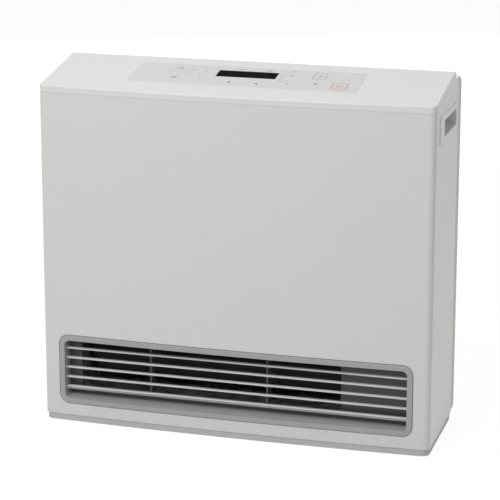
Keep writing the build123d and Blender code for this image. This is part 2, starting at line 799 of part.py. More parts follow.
def duct_outline(growth):
    """Outline of the duct opening, one upper corner cut off, grown all round."""
    with BuildSketch() as outline:
        with Locations(((DUCT_X0 + DUCT_X1) / 2, (DUCT_Z0 + DUCT_Z1) / 2)):
            Rectangle(DUCT_X1 - DUCT_X0 + 2 * growth, DUCT_Z1 - DUCT_Z0 + 2 * growth)
        corner = outline.vertices().group_by(Axis.X)[-1].sort_by(Axis.Y)[-1]
        chamfer(corner, DUCT_CHAMFER)
    return outline.sketch


def make_duct_mouth():
    """Sheet plate behind the throat, open in front of the fan, with turned lips."""
    with BuildPart() as mouth:
        with BuildSketch(facing_plane(MOUTH_Y + MOUTH_T)):
            add(opening_rectangle(BEZEL_SKIN))
            add(duct_outline(0), mode=Mode.SUBTRACT)
        extrude(amount=MOUTH_T)
        with BuildSketch(facing_plane(MOUTH_Y + MOUTH_LIP)):
            add(duct_outline(SHEET))
            add(duct_outline(0), mode=Mode.SUBTRACT)
        extrude(amount=MOUTH_LIP - MOUTH_T)
    return mouth


# Fan and its housing


def make_fan_side(side):
    """Side plate of the fan housing, with the hole for the shaft or its mount."""
    left = side < 0
    x = DUCT_X0 - PLATE_T if left else DUCT_X1
    hole_r = MOUNT_NECK_R if left else SHAFT_R + 2
    with BuildPart() as plate:
        with BuildSketch(across_plane(x)):
            with BuildLine():
                Polyline(
                    (HOUSING_FRONT_Y, PAN_TOP_Z),
                    (HOUSING_BACK_Y, PAN_TOP_Z),
                    (HOUSING_BACK_Y, CHAMBER_Z0),
                    (HOUSING_FRONT_Y, CHAMBER_Z0),
                    (HOUSING_FRONT_Y, PAN_TOP_Z),
                )
            make_face()
            with Locations((FAN_Y, FAN_Z)):
                Circle(hole_r, mode=Mode.SUBTRACT)
        extrude(amount=PLATE_T)
        with BuildSketch(Plane.XY.offset(PAN_TOP_Z)):
            with Locations((x + PLATE_T / 2 + side * FOOT_TAB / 2, 0)):
                Rectangle(FOOT_TAB, HOUSING_BACK_Y - HOUSING_FRONT_Y - 20)
        extrude(amount=PLATE_T)
    return plate


def make_fan_scroll():
    """Curved sheet under and behind the fan."""
    under_z = FAN_Z - FAN_R - SCROLL_UNDER
    with BuildPart() as scroll:
        with BuildSketch(across_plane(DUCT_X0)):
            with BuildLine():
                under = Line((HOUSING_FRONT_Y + GAP, DUCT_Z0 - SHEET), (FAN_Y - 6, under_z))
                behind = ThreePointArc(
                    under @ 1,
                    (FAN_Y + FAN_R - 3, FAN_Z - FAN_R + 6),
                    (FAN_Y + FAN_R + SCROLL_BEHIND, FAN_Z + 8),
                )
                Line(behind @ 1, (FAN_Y + FAN_R + SCROLL_BEHIND, CHAMBER_Z0))
                offset(amount=SHEET, side=Side.RIGHT)
            make_face()
        extrude(amount=DUCT_X1 - DUCT_X0)
    return scroll


def make_fan_tongue():
    """Folded sheet above the outlet that comes close to the fan."""
    with BuildPart() as tongue:
        with BuildSketch(across_plane(DUCT_X0)):
            with BuildLine():
                Polyline(
                    (HOUSING_FRONT_Y + GAP, DUCT_Z1 + SHEET),
                    (FAN_Y - 0.84 * FAN_R, FAN_Z + 0.84 * FAN_R),
                    (FAN_Y - 0.69 * FAN_R, FAN_Z + 1.03 * FAN_R),
                    (CHAMBER_Y0, CHAMBER_Z0 - 6),
                    (CHAMBER_Y0, CHAMBER_Z0),
                )
                offset(amount=SHEET, side=Side.LEFT)
            make_face()
        extrude(amount=DUCT_X1 - DUCT_X0)
    return tongue


def blade_outline():
    """Section of one curved blade, about the fan's own centre."""
    sweep = math.radians(BLADE_SWEEP)
    bulge_r = (FAN_INNER_R + FAN_R) / 2
    bulge = sweep * BLADE_BULGE
    outer_r = FAN_R - BLADE_T / 2
    with BuildSketch() as outline:
        with BuildLine():
            ThreePointArc(
                (FAN_INNER_R, 0),
                (bulge_r * math.cos(bulge), bulge_r * math.sin(bulge)),
                (outer_r * math.cos(sweep), outer_r * math.sin(sweep)),
            )
        trace(line_width=BLADE_T)
    return outline.sketch


def make_fan_rotor():
    """Cross-flow rotor: curved blades, ring discs along it, end discs with hubs."""
    length = ROTOR_X1 - ROTOR_X0
    step = (length - DISC_T) / (MID_DISCS + 1)
    with BuildPart() as rotor:
        with BuildSketch(across_plane(ROTOR_X0, FAN_Y, FAN_Z)):
            with PolarLocations(0, BLADE_COUNT):
                add(blade_outline())
        extrude(amount=length)
        for index in range(MID_DISCS + 2):
            end = index in (0, MID_DISCS + 1)
            with BuildSketch(across_plane(ROTOR_X0 + index * step, FAN_Y, FAN_Z)):
                Circle(DISC_R)
                Circle(SHAFT_R if end else FAN_INNER_R - 2, mode=Mode.SUBTRACT)
            extrude(amount=DISC_T)
        for x, inward in ((ROTOR_X0, 1), (ROTOR_X1, -1)):
            with BuildSketch(across_plane(x, FAN_Y, FAN_Z)):
                Circle(HUB_R)
                Circle(SHAFT_R, mode=Mode.SUBTRACT)
            extrude(amount=inward * HUB_L)
    return rotor


def make_rod(x0, x1, radius, bore=0.0):
    """Round rod on the fan's axis, with an optional bore."""
    with BuildPart() as rod:
        with BuildSketch(across_plane(x0, FAN_Y, FAN_Z)):
            Circle(radius)
            if bore:
                Circle(bore, mode=Mode.SUBTRACT)
        extrude(amount=x1 - x0)
    return rod


def make_bush_mount():
    """Rubber ring that holds the bush in the left side plate."""
    plate_x0, plate_x1 = DUCT_X0 - PLATE_T, DUCT_X0
    with BuildPart() as mount:
        with BuildSketch(across_plane(BUSH_X0, FAN_Y, FAN_Z)):
            Circle(MOUNT_R)
            Circle(BUSH_R, mode=Mode.SUBTRACT)
        extrude(amount=BUSH_L)
        with BuildSketch(across_plane(plate_x0, FAN_Y, FAN_Z)):
            Circle(MOUNT_R + 1)
            Circle(MOUNT_NECK_R, mode=Mode.SUBTRACT)
        extrude(amount=plate_x1 - plate_x0, mode=Mode.SUBTRACT)
    return mount


def make_fan_motor():
    """Motor can with cooling slots, end boss, and the bore its shaft turns in."""
    with BuildPart() as motor:
        with BuildSketch(across_plane(MOTOR_X0, FAN_Y, FAN_Z)):
            Circle(MOTOR_R)
        extrude(amount=MOTOR_L)
        chamfer(motor.edges().group_by(Axis.X)[-1], 3)
        with BuildSketch(across_plane(MOTOR_X0 + MOTOR_L, FAN_Y, FAN_Z)):
            Circle(HUB_R)
        extrude(amount=5)
        with BuildSketch(across_plane(MOTOR_X0 + MOTOR_L - 4, FAN_Y, FAN_Z)):
            with PolarLocations(MOTOR_R * 0.62, 8):
                SlotOverall(10, 4)
        extrude(amount=10, mode=Mode.SUBTRACT)
        with BuildSketch(across_plane(MOTOR_X0, FAN_Y, FAN_Z)):
            Circle(SHAFT_R + RUNNING)
        extrude(amount=MOTOR_SHAFT_L + GAP, mode=Mode.SUBTRACT)
        with BuildSketch(across_plane(MOTOR_X0, FAN_Y, FAN_Z)):
            with PolarLocations(MOTOR_R * 0.7, 3, start_angle=90):
                Circle(SCREW_R + SLIP)
        extrude(amount=MOTOR_SCREW_L, mode=Mode.SUBTRACT)
    return motor


def make_motor_bracket():
    """Sheet bracket that stands on the floor pan and carries the motor."""
    with BuildPart() as bracket:
        with BuildSketch(across_plane(MOTOR_X0 - PLATE_T)):
            with Locations((FAN_Y, FAN_Z)):
                Circle(MOTOR_R + 4)
            with Locations((FAN_Y, (PAN_TOP_Z + FAN_Z) / 2)):
                Rectangle(2 * MOTOR_R, FAN_Z - PAN_TOP_Z)
            with Locations((FAN_Y, FAN_Z)):
                Circle(SHAFT_R + 2, mode=Mode.SUBTRACT)
                with PolarLocations(MOTOR_R * 0.7, 3, start_angle=90):
                    Circle(SCREW_R + SLIP, mode=Mode.SUBTRACT)
        extrude(amount=PLATE_T)
        with BuildSketch(Plane.XY.offset(PAN_TOP_Z)):
            with Locations((MOTOR_X0 + FOOT_TAB, FAN_Y)):
                Rectangle(2 * FOOT_TAB + PLATE_T, 2 * MOTOR_R)
        extrude(amount=PLATE_T)
    return bracket


# Inside structure


def make_floor_pan():
    """Sheet pan on the base, with a turned-up flange along its back."""
    with BuildPart() as pan:
        with BuildSketch(Plane.XY.offset(BASE_TOP_Z)):
            add(plan_outline(PAN_INSET, PAN_BACK_Y, CORNER_R))
            with Locations(*base_screw_places()):
                Circle(SCREW_R + SLIP, mode=Mode.SUBTRACT)
        extrude(amount=PLATE_T)
        with BuildSketch(Plane.XY.offset(BASE_TOP_Z)):
            with Locations((0, PAN_BACK_Y - PLATE_T / 2)):
                Rectangle(WIDTH - 2 * PAN_INSET, PLATE_T)
        extrude(amount=PAN_FLANGE_H)
    return pan


def make_inner_bracket():
    """Tall sheet upright at the right that carries the gas valve and the board."""
    with BuildPart() as bracket:
        with BuildSketch(facing_plane(UPRIGHT_Y + PLATE_T)):
            with BuildLine():
                Polyline(
                    (UPRIGHT_X0, PAN_TOP_Z),
                    (UPRIGHT_X1, PAN_TOP_Z),
                    (UPRIGHT_X1, UPRIGHT_TOP_Z),
                    (BOARD_X0, UPRIGHT_TOP_Z),
                    (BOARD_X0, MAIN_BOARD_Z0),
                    (UPRIGHT_X0, MAIN_BOARD_Z0 - 12),
                    (UPRIGHT_X0, PAN_TOP_Z),
                )
            make_face()
        extrude(amount=PLATE_T)
        with BuildSketch(Plane.XY.offset(PAN_TOP_Z)):
            with Locations(((UPRIGHT_X0 + UPRIGHT_X1) / 2, UPRIGHT_Y - FOOT_TAB / 2)):
                Rectangle(UPRIGHT_X1 - UPRIGHT_X0, FOOT_TAB)
        extrude(amount=PLATE_T)
    return bracket


def make_combustion_chamber():
    """Sheet chamber over the fan, open below, with a flange and wall openings."""
    mid = ((CHAMBER_X0 + CHAMBER_X1) / 2, (CHAMBER_Y0 + CHAMBER_Y1) / 2)
    size = (CHAMBER_X1 - CHAMBER_X0, CHAMBER_Y1 - CHAMBER_Y0)
    with BuildPart() as chamber:
        with BuildSketch(Plane.XY.offset(CHAMBER_Z0)):
            with Locations(mid):
                Rectangle(*size)
        extrude(amount=CHAMBER_Z1 - CHAMBER_Z0)
        fillet(chamber.edges().filter_by(Axis.Z), 6)
        with BuildSketch(Plane.XY.offset(CHAMBER_Z0)):
            with Locations(((DUCT_X0 + DUCT_X1) / 2, (CHAMBER_Y0 + HOUSING_BACK_Y) / 2)):
                Rectangle(DUCT_X1 - DUCT_X0 + 2 * PLATE_T, HOUSING_BACK_Y - CHAMBER_Y0 + 6)
        extrude(amount=CHAMBER_T)
        with BuildSketch(Plane.XY.offset(CHAMBER_Z0)):
            with Locations(mid):
                Rectangle(size[0] - 2 * CHAMBER_T, size[1] - 2 * CHAMBER_T)
        extrude(amount=CHAMBER_Z1 - CHAMBER_Z0 - CHAMBER_T, mode=Mode.SUBTRACT)
        with BuildSketch(across_plane(CHAMBER_X1 - 3)):
            with Locations((0, BURNER_Z + BURNER_H / 2)):
                Circle(TUBE_R + GAP)
        extrude(amount=6, mode=Mode.SUBTRACT)
        with BuildSketch(facing_plane(CHAMBER_Y0 + 3)):
            with Locations((SPARK_X, ROD_Z), (FLAME_X, ROD_Z)):
                Circle(ROD_R + SLIP)
        extrude(amount=6, mode=Mode.SUBTRACT)
        with BuildSketch(facing_plane(CHAMBER_Y1 + 3)):
            with Locations((mid[0], CHAMBER_Z1 - 30)):
                with GridLocations(24, 14, 8, 2):
                    SlotOverall(16, 5)
        extrude(amount=6, mode=Mode.SUBTRACT)
    return chamber


def make_burner():
    """Bar burner with rows of ports on top and its mixing tube to the right."""
    mid_z = BURNER_Z + BURNER_H / 2
    with BuildPart() as burner:
        with BuildSketch(across_plane(BURNER_X0, 0, mid_z)):
            RectangleRounded(BURNER_W, BURNER_H, 5)
        extrude(amount=BURNER_X1 - BURNER_X0)
        with BuildSketch(across_plane(BURNER_X1, 0, mid_z)):
            Circle(TUBE_R)
        extrude(amount=CHAMBER_X1 - BURNER_X1 + 6)
        with BuildSketch(across_plane(BURNER_X1, 0, mid_z)):
            Circle(TUBE_R - SHEET)
        extrude(amount=CHAMBER_X1 - BURNER_X1 + 6, mode=Mode.SUBTRACT)
        with BuildSketch(Plane.XY.offset(BURNER_Z + BURNER_H)):
            with Locations(((BURNER_X0 + BURNER_X1) / 2, 0)):
                with GridLocations(PORT_PITCH, BURNER_W / 3, PORT_COUNT, 2):
                    Rectangle(PORT_W, BURNER_W / 4)
        extrude(amount=-3, mode=Mode.SUBTRACT)
    return burner


def nozzle_block():
    """Block with the nozzle that feeds the burner's tube."""
    mid_z = BURNER_Z + BURNER_H / 2
    x0 = CHAMBER_X1 + 12
    with BuildPart() as manifold:
        with BuildSketch(across_plane(x0, 0, mid_z)):
            RectangleRounded(26, 26, 3)
        extrude(amount=12)
        with BuildSketch(across_plane(x0, 0, mid_z)):
            Circle(4)
        extrude(amount=-8)
        with BuildSketch(across_plane(x0 - 8, 0, mid_z)):
            Circle(1)
        extrude(amount=14, mode=Mode.SUBTRACT)
    return manifold.part


def make_rod_electrode(x, tip_rise):
    """Ceramic insulator through the chamber's front wall, with a bent metal tip."""
    with BuildPart() as rod:
        with BuildSketch(facing_plane(CHAMBER_Y0 + 6, ROD_Z)):
            with Locations((x, 0)):
                Circle(ROD_R)
        extrude(amount=18)
        with BuildSketch(facing_plane(CHAMBER_Y0, ROD_Z)):
            with Locations((x, 0)):
                Circle(ROD_R + 2)
        extrude(amount=2)
        with BuildLine():
            FilletPolyline(
                (x, CHAMBER_Y0 + 5, ROD_Z), (x, -10, ROD_Z), (x, -4, ROD_Z + tip_rise), radius=1.5
            )
        with BuildSketch(facing_plane(CHAMBER_Y0 + 5, ROD_Z)):
            with Locations((x, 0)):
                Circle(TIP_R)
        sweep()
    return rod


# Gas line


def make_gas_valve():
    """Valve block with two round solenoids on top and an inlet stub below."""
    with BuildPart() as valve:
        add(block(
            (VALVE_X0, VALVE_X0 + VALVE_W), (VALVE_Y0, VALVE_Y1), (VALVE_Z0, VALVE_Z0 + VALVE_H)
        ))
        fillet(valve.edges().filter_by(Axis.Z), 3)
        with BuildSketch(Plane.XY.offset(VALVE_Z0 + VALVE_H)):
            with Locations((VALVE_X0 + VALVE_W / 2, (VALVE_Y0 + VALVE_Y1) / 2)):
                with GridLocations(VALVE_W / 2, 0, 2, 1):
                    Circle(VALVE_D * 0.38)
        extrude(amount=14)
        with BuildSketch(Plane.XY.offset(VALVE_Z0)):
            with Locations((GAS_X, (VALVE_Y0 + VALVE_Y1) / 2)):
                Circle(PIPE_R + 2.5)
                Circle(PIPE_R + RUNNING, mode=Mode.SUBTRACT)
        extrude(amount=-6)
    return valve


def pipe_section(radius, y, z):
    """Round section facing the front, on the gas line's own x."""
    with BuildSketch(facing_plane(y, z)) as section:
        with Locations((GAS_X, 0)):
            Circle(radius)
    return section.sketch


def make_gas_pipe():
    """Bent pipe from the plug in the back, forward and up to the valve."""
    valve_y = (VALVE_Y0 + VALVE_Y1) / 2
    with BuildPart() as pipe:
        with BuildLine():
            FilletPolyline(
                (GAS_X, POCKET_FLOOR_Y, PLUG_Z),
                (GAS_X, PIPE_Y, PLUG_Z),
                (GAS_X, PIPE_Y, VALVE_Z0 - 18),
                (GAS_X, valve_y, VALVE_Z0 - 18),
                (GAS_X, valve_y, VALVE_Z0),
                radius=PIPE_R + 1.5,
            )
        add(pipe_section(PIPE_R, POCKET_FLOOR_Y, PLUG_Z))
        sweep()
    return pipe


def make_feed_pipe():
    """Thin pipe from the valve's side to the burner's manifold."""
    start_z = VALVE_Z0 + VALVE_H / 2
    end_z = BURNER_Z + BURNER_H / 2
    start = (VALVE_X0, (VALVE_Y0 + VALVE_Y1) / 2, start_z)
    with BuildPart() as pipe:
        with BuildLine():
            FilletPolyline(
                start,
                (FEED_X, start[1], start_z),
                (FEED_X, 0, end_z),
                (CHAMBER_X1 + 24, 0, end_z),
                radius=5,
            )
        with BuildSketch(across_plane(start[0], start[1], start_z)):
            Circle(PIPE_R * 0.7)
        sweep()
        add(nozzle_block())
    return pipe


def make_gas_plug():
    """Inlet elbow in the rear pocket: body and grooved plug pointing down."""
    half = PLUG_R + ELBOW_MARGIN
    with BuildPart() as plug:
        add(block(
            (GAS_X - half, GAS_X + half),
            (ELBOW_Y - half, ELBOW_Y + half),
            (PLUG_Z - half, PLUG_Z + half),
        ))
        fillet(plug.edges().filter_by(Axis.Z), 3)
        with BuildSketch(Plane.XY.offset(PLUG_Z - half)):
            with Locations((GAS_X, ELBOW_Y)):
                Circle(PLUG_R)
        extrude(amount=-PLUG_L)
        chamfer(plug.edges().group_by(Axis.Z)[0], 0.8)
        with BuildSketch(Plane.XY.offset(PLUG_Z - half - PLUG_L + 4)):
            with Locations((GAS_X, ELBOW_Y)):
                Circle(PLUG_R + 1)
                Circle(PLUG_R - PLUG_GROOVE, mode=Mode.SUBTRACT)
        extrude(amount=1.6, mode=Mode.SUBTRACT)
    return plug


# Electrical parts


def make_control_board():
    """Main circuit board with its larger components, on posts from the upright."""
    face = facing_plane(BOARD_Y)
    mid = ((BOARD_X0 + UPRIGHT_X1) / 2, (MAIN_BOARD_Z0 + MAIN_BOARD_Z1) / 2)
    size = (UPRIGHT_X1 - BOARD_X0 - 4, MAIN_BOARD_Z1 - MAIN_BOARD_Z0)
    with BuildPart() as board:
        with BuildSketch(face):
            with Locations(mid):
                Rectangle(*size)
        extrude(amount=BOARD_T)
        with BuildSketch(face):
            with Locations(mid):
                with GridLocations(size[0] - 8, size[1] - 8, 2, 2):
                    Circle(3)
        extrude(amount=-(UPRIGHT_Y - BOARD_Y))
        with BuildSketch(face.offset(BOARD_T)):
            with Locations((mid[0] - 18, mid[1] + 40)):
                Rectangle(24, 30)
            with Locations((mid[0] + 16, mid[1] + 42)):
                Rectangle(16, 22)
            with Locations((mid[0], mid[1] - 50)):
                with GridLocations(18, 0, 3, 1):
                    Rectangle(14, 9)
        extrude(amount=12)
        with BuildSketch(face.offset(BOARD_T)):
            with Locations((mid[0] + 14, mid[1] - 4)):
                with GridLocations(0, 20, 1, 2):
                    Circle(7)
            with Locations((mid[0] - 18, mid[1] - 10)):
                Rectangle(16, 24)
        extrude(amount=18)
    return board


def make_display_board():
    """Board under the panel, hanging from the posts of the top cover."""
    with BuildPart() as board:
        with BuildSketch(slope_plane(BOARD_DEPTH)):
            with Locations((0, PANEL_MID_S)):
                RectangleRounded(BOARD_W, BOARD_L, 2)
                with GridLocations(BOARD_W - 10, BOARD_L - 8, 2, 2):
                    Circle(1.2, mode=Mode.SUBTRACT)
        extrude(amount=-BOARD_T)
        add(display_module())
        add(key_switches())
    return board


def display_module():
    """Number display on the board, just under the window."""
    depth = WINDOW_T + WALL
    with BuildPart() as module:
        with BuildSketch(slope_plane(depth)):
            with Locations((WINDOW_X, WINDOW_S)):
                Rectangle(WINDOW_W - 2 * WINDOW_LEDGE - 2, WINDOW_L - 2 * WINDOW_LEDGE - 1)
        extrude(amount=-(BOARD_DEPTH - depth))
    return module.part


def key_switches():
    """One small switch under each key."""
    with BuildPart() as switches:
        for _, x, s, _, _ in KEYS:
            with BuildSketch(slope_plane(BOARD_DEPTH)):
                with Locations((x, s)):
                    Rectangle(SWITCH_W, SWITCH_W)
            extrude(amount=SWITCH_H)
            with BuildSketch(slope_plane(BOARD_DEPTH - SWITCH_H)):
                with Locations((x, s)):
                    Circle(SWITCH_BUTTON_R)
            extrude(amount=SWITCH_BUTTON_H)
    return switches.part


def make_igniter():
    """Potted igniter box on the floor pan, with its lead socket on top."""
    x0, x1, y0, y1, z1 = IGNITER
    with BuildPart() as igniter:
        add(block((x0, x1), (y0, y1), (PAN_TOP_Z, z1)))
        fillet(igniter.edges().filter_by(Axis.Z), 2)
        with BuildSketch(Plane.XY.offset(z1)):
            with Locations(((x0 + x1) / 2, (y0 + y1) / 2)):
                Circle(LEAD_R + 2)
        extrude(amount=4)
    return igniter


def make_tip_switch():
    """Sealed tip-over switch on the floor pan."""
    x0, x1, y0, y1, z1 = TIP_SWITCH
    with BuildPart() as switch:
        add(block((x0, x1), (y0, y1), (PAN_TOP_Z, z1)))
        fillet(switch.edges().filter_by(Axis.Z), 2)
        with BuildSketch(Plane.XY.offset(z1)):
            with Locations(((x0 + x1) / 2, (y0 + y1) / 2)):
                Circle(6)
        extrude(amount=4)
    return switch


def make_room_thermistor():
    """Bead on a holder behind the upright, in the stream of room air."""
    with BuildPart() as thermistor:
        add(block(
            (THERMISTOR_X - 6, THERMISTOR_X + 6),
            (UPRIGHT_Y + PLATE_T, UPRIGHT_Y + 7),
            (THERMISTOR_Z - 8, THERMISTOR_Z + 8),
        ))
        with BuildSketch(facing_plane(UPRIGHT_Y + 7, THERMISTOR_Z)):
            with Locations((THERMISTOR_X, 0)):
                Circle(1.4)
        extrude(amount=-9)
    return thermistor


def make_overheat_limiter():
    """Disc limiter on top of the fan's tongue."""
    seat_z = DUCT_Z1 + 2 * SHEET + 2.4
    with BuildPart() as limiter:
        with BuildSketch(Plane.XY.offset(seat_z)):
            with Locations((LIMITER_X, MOUTH_Y + 15)):
                Circle(7)
        extrude(amount=6)
        with BuildSketch(Plane.XY.offset(seat_z)):
            with Locations((LIMITER_X, MOUTH_Y + 15)):
                Rectangle(22, 6)
        extrude(amount=1)
    return limiter


# Back of the heater


def rear_body(inset, front_y_limit):
    """Solid of the rear cover's outline, moved inwards by inset."""
    chamfer_drop = inset * 0.5
    back = BACK_Y - inset
    with BuildPart() as body:
        with BuildSketch(across_plane(-WIDTH / 2 + inset)):
            with BuildLine():
                Polyline(
                    (front_y_limit, REAR_BOTTOM_Z + inset),
                    (back, REAR_BOTTOM_Z + inset),
                    (back, REAR_CHAMFER_Z - chamfer_drop),
                    (REAR_CHAMFER_Y - chamfer_drop, LEDGE_Z - inset),
                    (front_y_limit, LEDGE_Z - inset),
                    (front_y_limit, REAR_BOTTOM_Z + inset),
                )
            make_face()
        extrude(amount=WIDTH - 2 * inset)
    return body.part


def make_rear_cover():
    """Shallow rear box: grille slots, screw bosses, pockets and filter rails."""
    rail_y = (FILTER_FRONT_Y - GAP - RAIL_T, BACK_Y - REAR_WALL / 2)
    with BuildPart() as cover:
        add(rear_body(0, CASING_BACK_Y))
        upright = cover.edges().filter_by(Axis.Z).group_by(Axis.Y)[-1]
        fillet(upright, REAR_EDGE_R)
        add(rear_body(REAR_WALL, CASING_BACK_Y - 1), mode=Mode.SUBTRACT)
        for x, width, top_z in POCKETS:
            half = width / 2 + REAR_WALL
            add(block(
                (x - half, x + half),
                (POCKET_FLOOR_Y - REAR_WALL, BACK_Y - REAR_WALL / 2),
                (REAR_BOTTOM_Z, top_z + REAR_WALL),
            ))
        with BuildSketch(facing_plane(BACK_Y - REAR_WALL / 2)):
            add(boss_circles(BOSS_R))
        extrude(amount=BACK_Y - REAR_WALL / 2 - CASING_BACK_Y)
        for side in (-1, 1):
            outer = side * (FILTER_W / 2 + GAP + RAIL_T)
            add(block(
                sorted((side * (FILTER_W / 2 + GAP), outer)), rail_y, (FILTER_Z0, FILTER_Z1)
            ))
            add(block(
                sorted((side * (FILTER_W / 2 - RAIL_LIP), outer)),
                (rail_y[0], rail_y[0] + RAIL_T),
                (FILTER_Z0, FILTER_Z1),
            ))
        add(block(
            (-FILTER_W / 2 - GAP - RAIL_T, FILTER_W / 2 + GAP + RAIL_T),
            rail_y,
            (FILTER_Z0 - RAIL_T, FILTER_Z0 - GAP / 3),
        ))
        for x, width, top_z in POCKETS:
            add(
                block(
                    (x - width / 2, x + width / 2),
                    (POCKET_FLOOR_Y, BACK_Y + 1),
                    (REAR_BOTTOM_Z - 1, top_z),
                ),
                mode=Mode.SUBTRACT,
            )
        add(
            block(
                (-FILTER_W / 2 - GAP, FILTER_W / 2 + GAP),
                (FILTER_FRONT_Y - GAP, FILTER_FACE_Y + GAP),
                (FILTER_Z1 - 10, HEIGHT),
            ),
            mode=Mode.SUBTRACT,
        )
        with BuildSketch(facing_plane(BACK_Y + 1)):
            with Locations((0, GRILLE_MID_Z)):
                with GridLocations(SLOT_PITCH_X, SLOT_PITCH_Z, SLOT_COLS, SLOT_ROWS):
                    Rectangle(SLOT_W, SLOT_H)
        extrude(amount=REAR_WALL + 1.5, mode=Mode.SUBTRACT)
        with BuildSketch(facing_plane(BACK_Y + 1)):
            add(boss_circles(SCREW_R + SLIP))
        extrude(amount=DEPTH / 2, mode=Mode.SUBTRACT)
        with BuildSketch(facing_plane(BACK_Y + 1)):
            add(boss_circles(SCREW_HEAD_R + GAP))
        extrude(amount=SCREW_SINK + 1, mode=Mode.SUBTRACT)
        with BuildSketch(facing_plane(POCKET_FLOOR_Y + 1)):
            with Locations((GAS_X, PLUG_Z)):
                Circle(PIPE_R + GAP)
            with Locations((CORD_POCKET_X, GLAND_Z)):
                Circle(GLAND_R + SLIP)
        extrude(amount=REAR_WALL + 2, mode=Mode.SUBTRACT)
    return cover


def make_cord_gland():
    """Rubber gland in the cord pocket's floor, with a flange on each face."""
    floor_front = POCKET_FLOOR_Y - REAR_WALL
    with BuildPart() as gland:
        with BuildSketch(facing_plane(POCKET_FLOOR_Y + 7, GLAND_Z)):
            with Locations((CORD_POCKET_X, 0)):
                Circle(GLAND_R)
        extrude(amount=REAR_WALL + 9)
        for y in (POCKET_FLOOR_Y + 2, floor_front):
            with BuildSketch(facing_plane(y, GLAND_Z)):
                with Locations((CORD_POCKET_X, 0)):
                    Circle(GLAND_R + 2.5)
            extrude(amount=2)
        with BuildSketch(facing_plane(POCKET_FLOOR_Y + 8, GLAND_Z)):
            with Locations((CORD_POCKET_X, 0)):
                Circle(GLAND_BORE_R)
        extrude(amount=REAR_WALL + 12, mode=Mode.SUBTRACT)
    return gland


def make_filter_frame():
    """Filter frame with a pull tab on its top bar."""
    mid_z = (FILTER_Z0 + FILTER_Z1) / 2
    height = FILTER_Z1 - FILTER_Z0
    with BuildPart() as frame:
        with BuildSketch(facing_plane(FILTER_FACE_Y)):
            with Locations((0, mid_z)):
                Rectangle(FILTER_W, height)
                Rectangle(FILTER_W - 2 * FILTER_BAR, height - 2 * FILTER_BAR, mode=Mode.SUBTRACT)
            with Locations((0, (FILTER_Z1 + TAB_TOP_Z) / 2)):
                Rectangle(TAB_W, TAB_TOP_Z - FILTER_Z1)
        extrude(amount=FILTER_T)
    return frame


def make_filter_mesh():
    """Net of the filter: one holed sheet inside the frame."""
    width = FILTER_W - 2 * FILTER_BAR
    height = FILTER_Z1 - FILTER_Z0 - 2 * FILTER_BAR
    pitch_x = (width - MESH_WIRE) / MESH_COLS
    pitch_z = (height - MESH_WIRE) / MESH_ROWS
    with BuildPart() as mesh:
        with BuildSketch(facing_plane(FILTER_FACE_Y - (FILTER_T - MESH_T) / 2)):
            with Locations((0, (FILTER_Z0 + FILTER_Z1) / 2)):
                Rectangle(width, height)
                with GridLocations(pitch_x, pitch_z, MESH_COLS, MESH_ROWS):
                    Rectangle(pitch_x - MESH_WIRE, pitch_z - MESH_WIRE, mode=Mode.SUBTRACT)
        extrude(amount=MESH_T)
    return mesh


# Screw places


def rear_screw_places():
    """Seats of the rear cover screws."""
    return [(x, BACK_Y - SCREW_SINK, z) for x in BOSS_XS for z in BOSS_ZS]


def base_screw_seats():
    """Seats of the base screws, in their sockets under the base."""
    return [(x, y, FOOT_PROUD + SCREW_HEAD_H + 0.6) for x, y in base_screw_places()]


def motor_screw_seats():
    """Seats of the motor screws on the bracket."""
    seats = []
    for index in range(3):
        angle = math.radians(90 + 120 * index)
        y = FAN_Y + MOTOR_R * 0.7 * math.cos(angle)
        z = FAN_Z + MOTOR_R * 0.7 * math.sin(angle)
        seats.append((MOTOR_X0 - PLATE_T, y, z))
    return seats


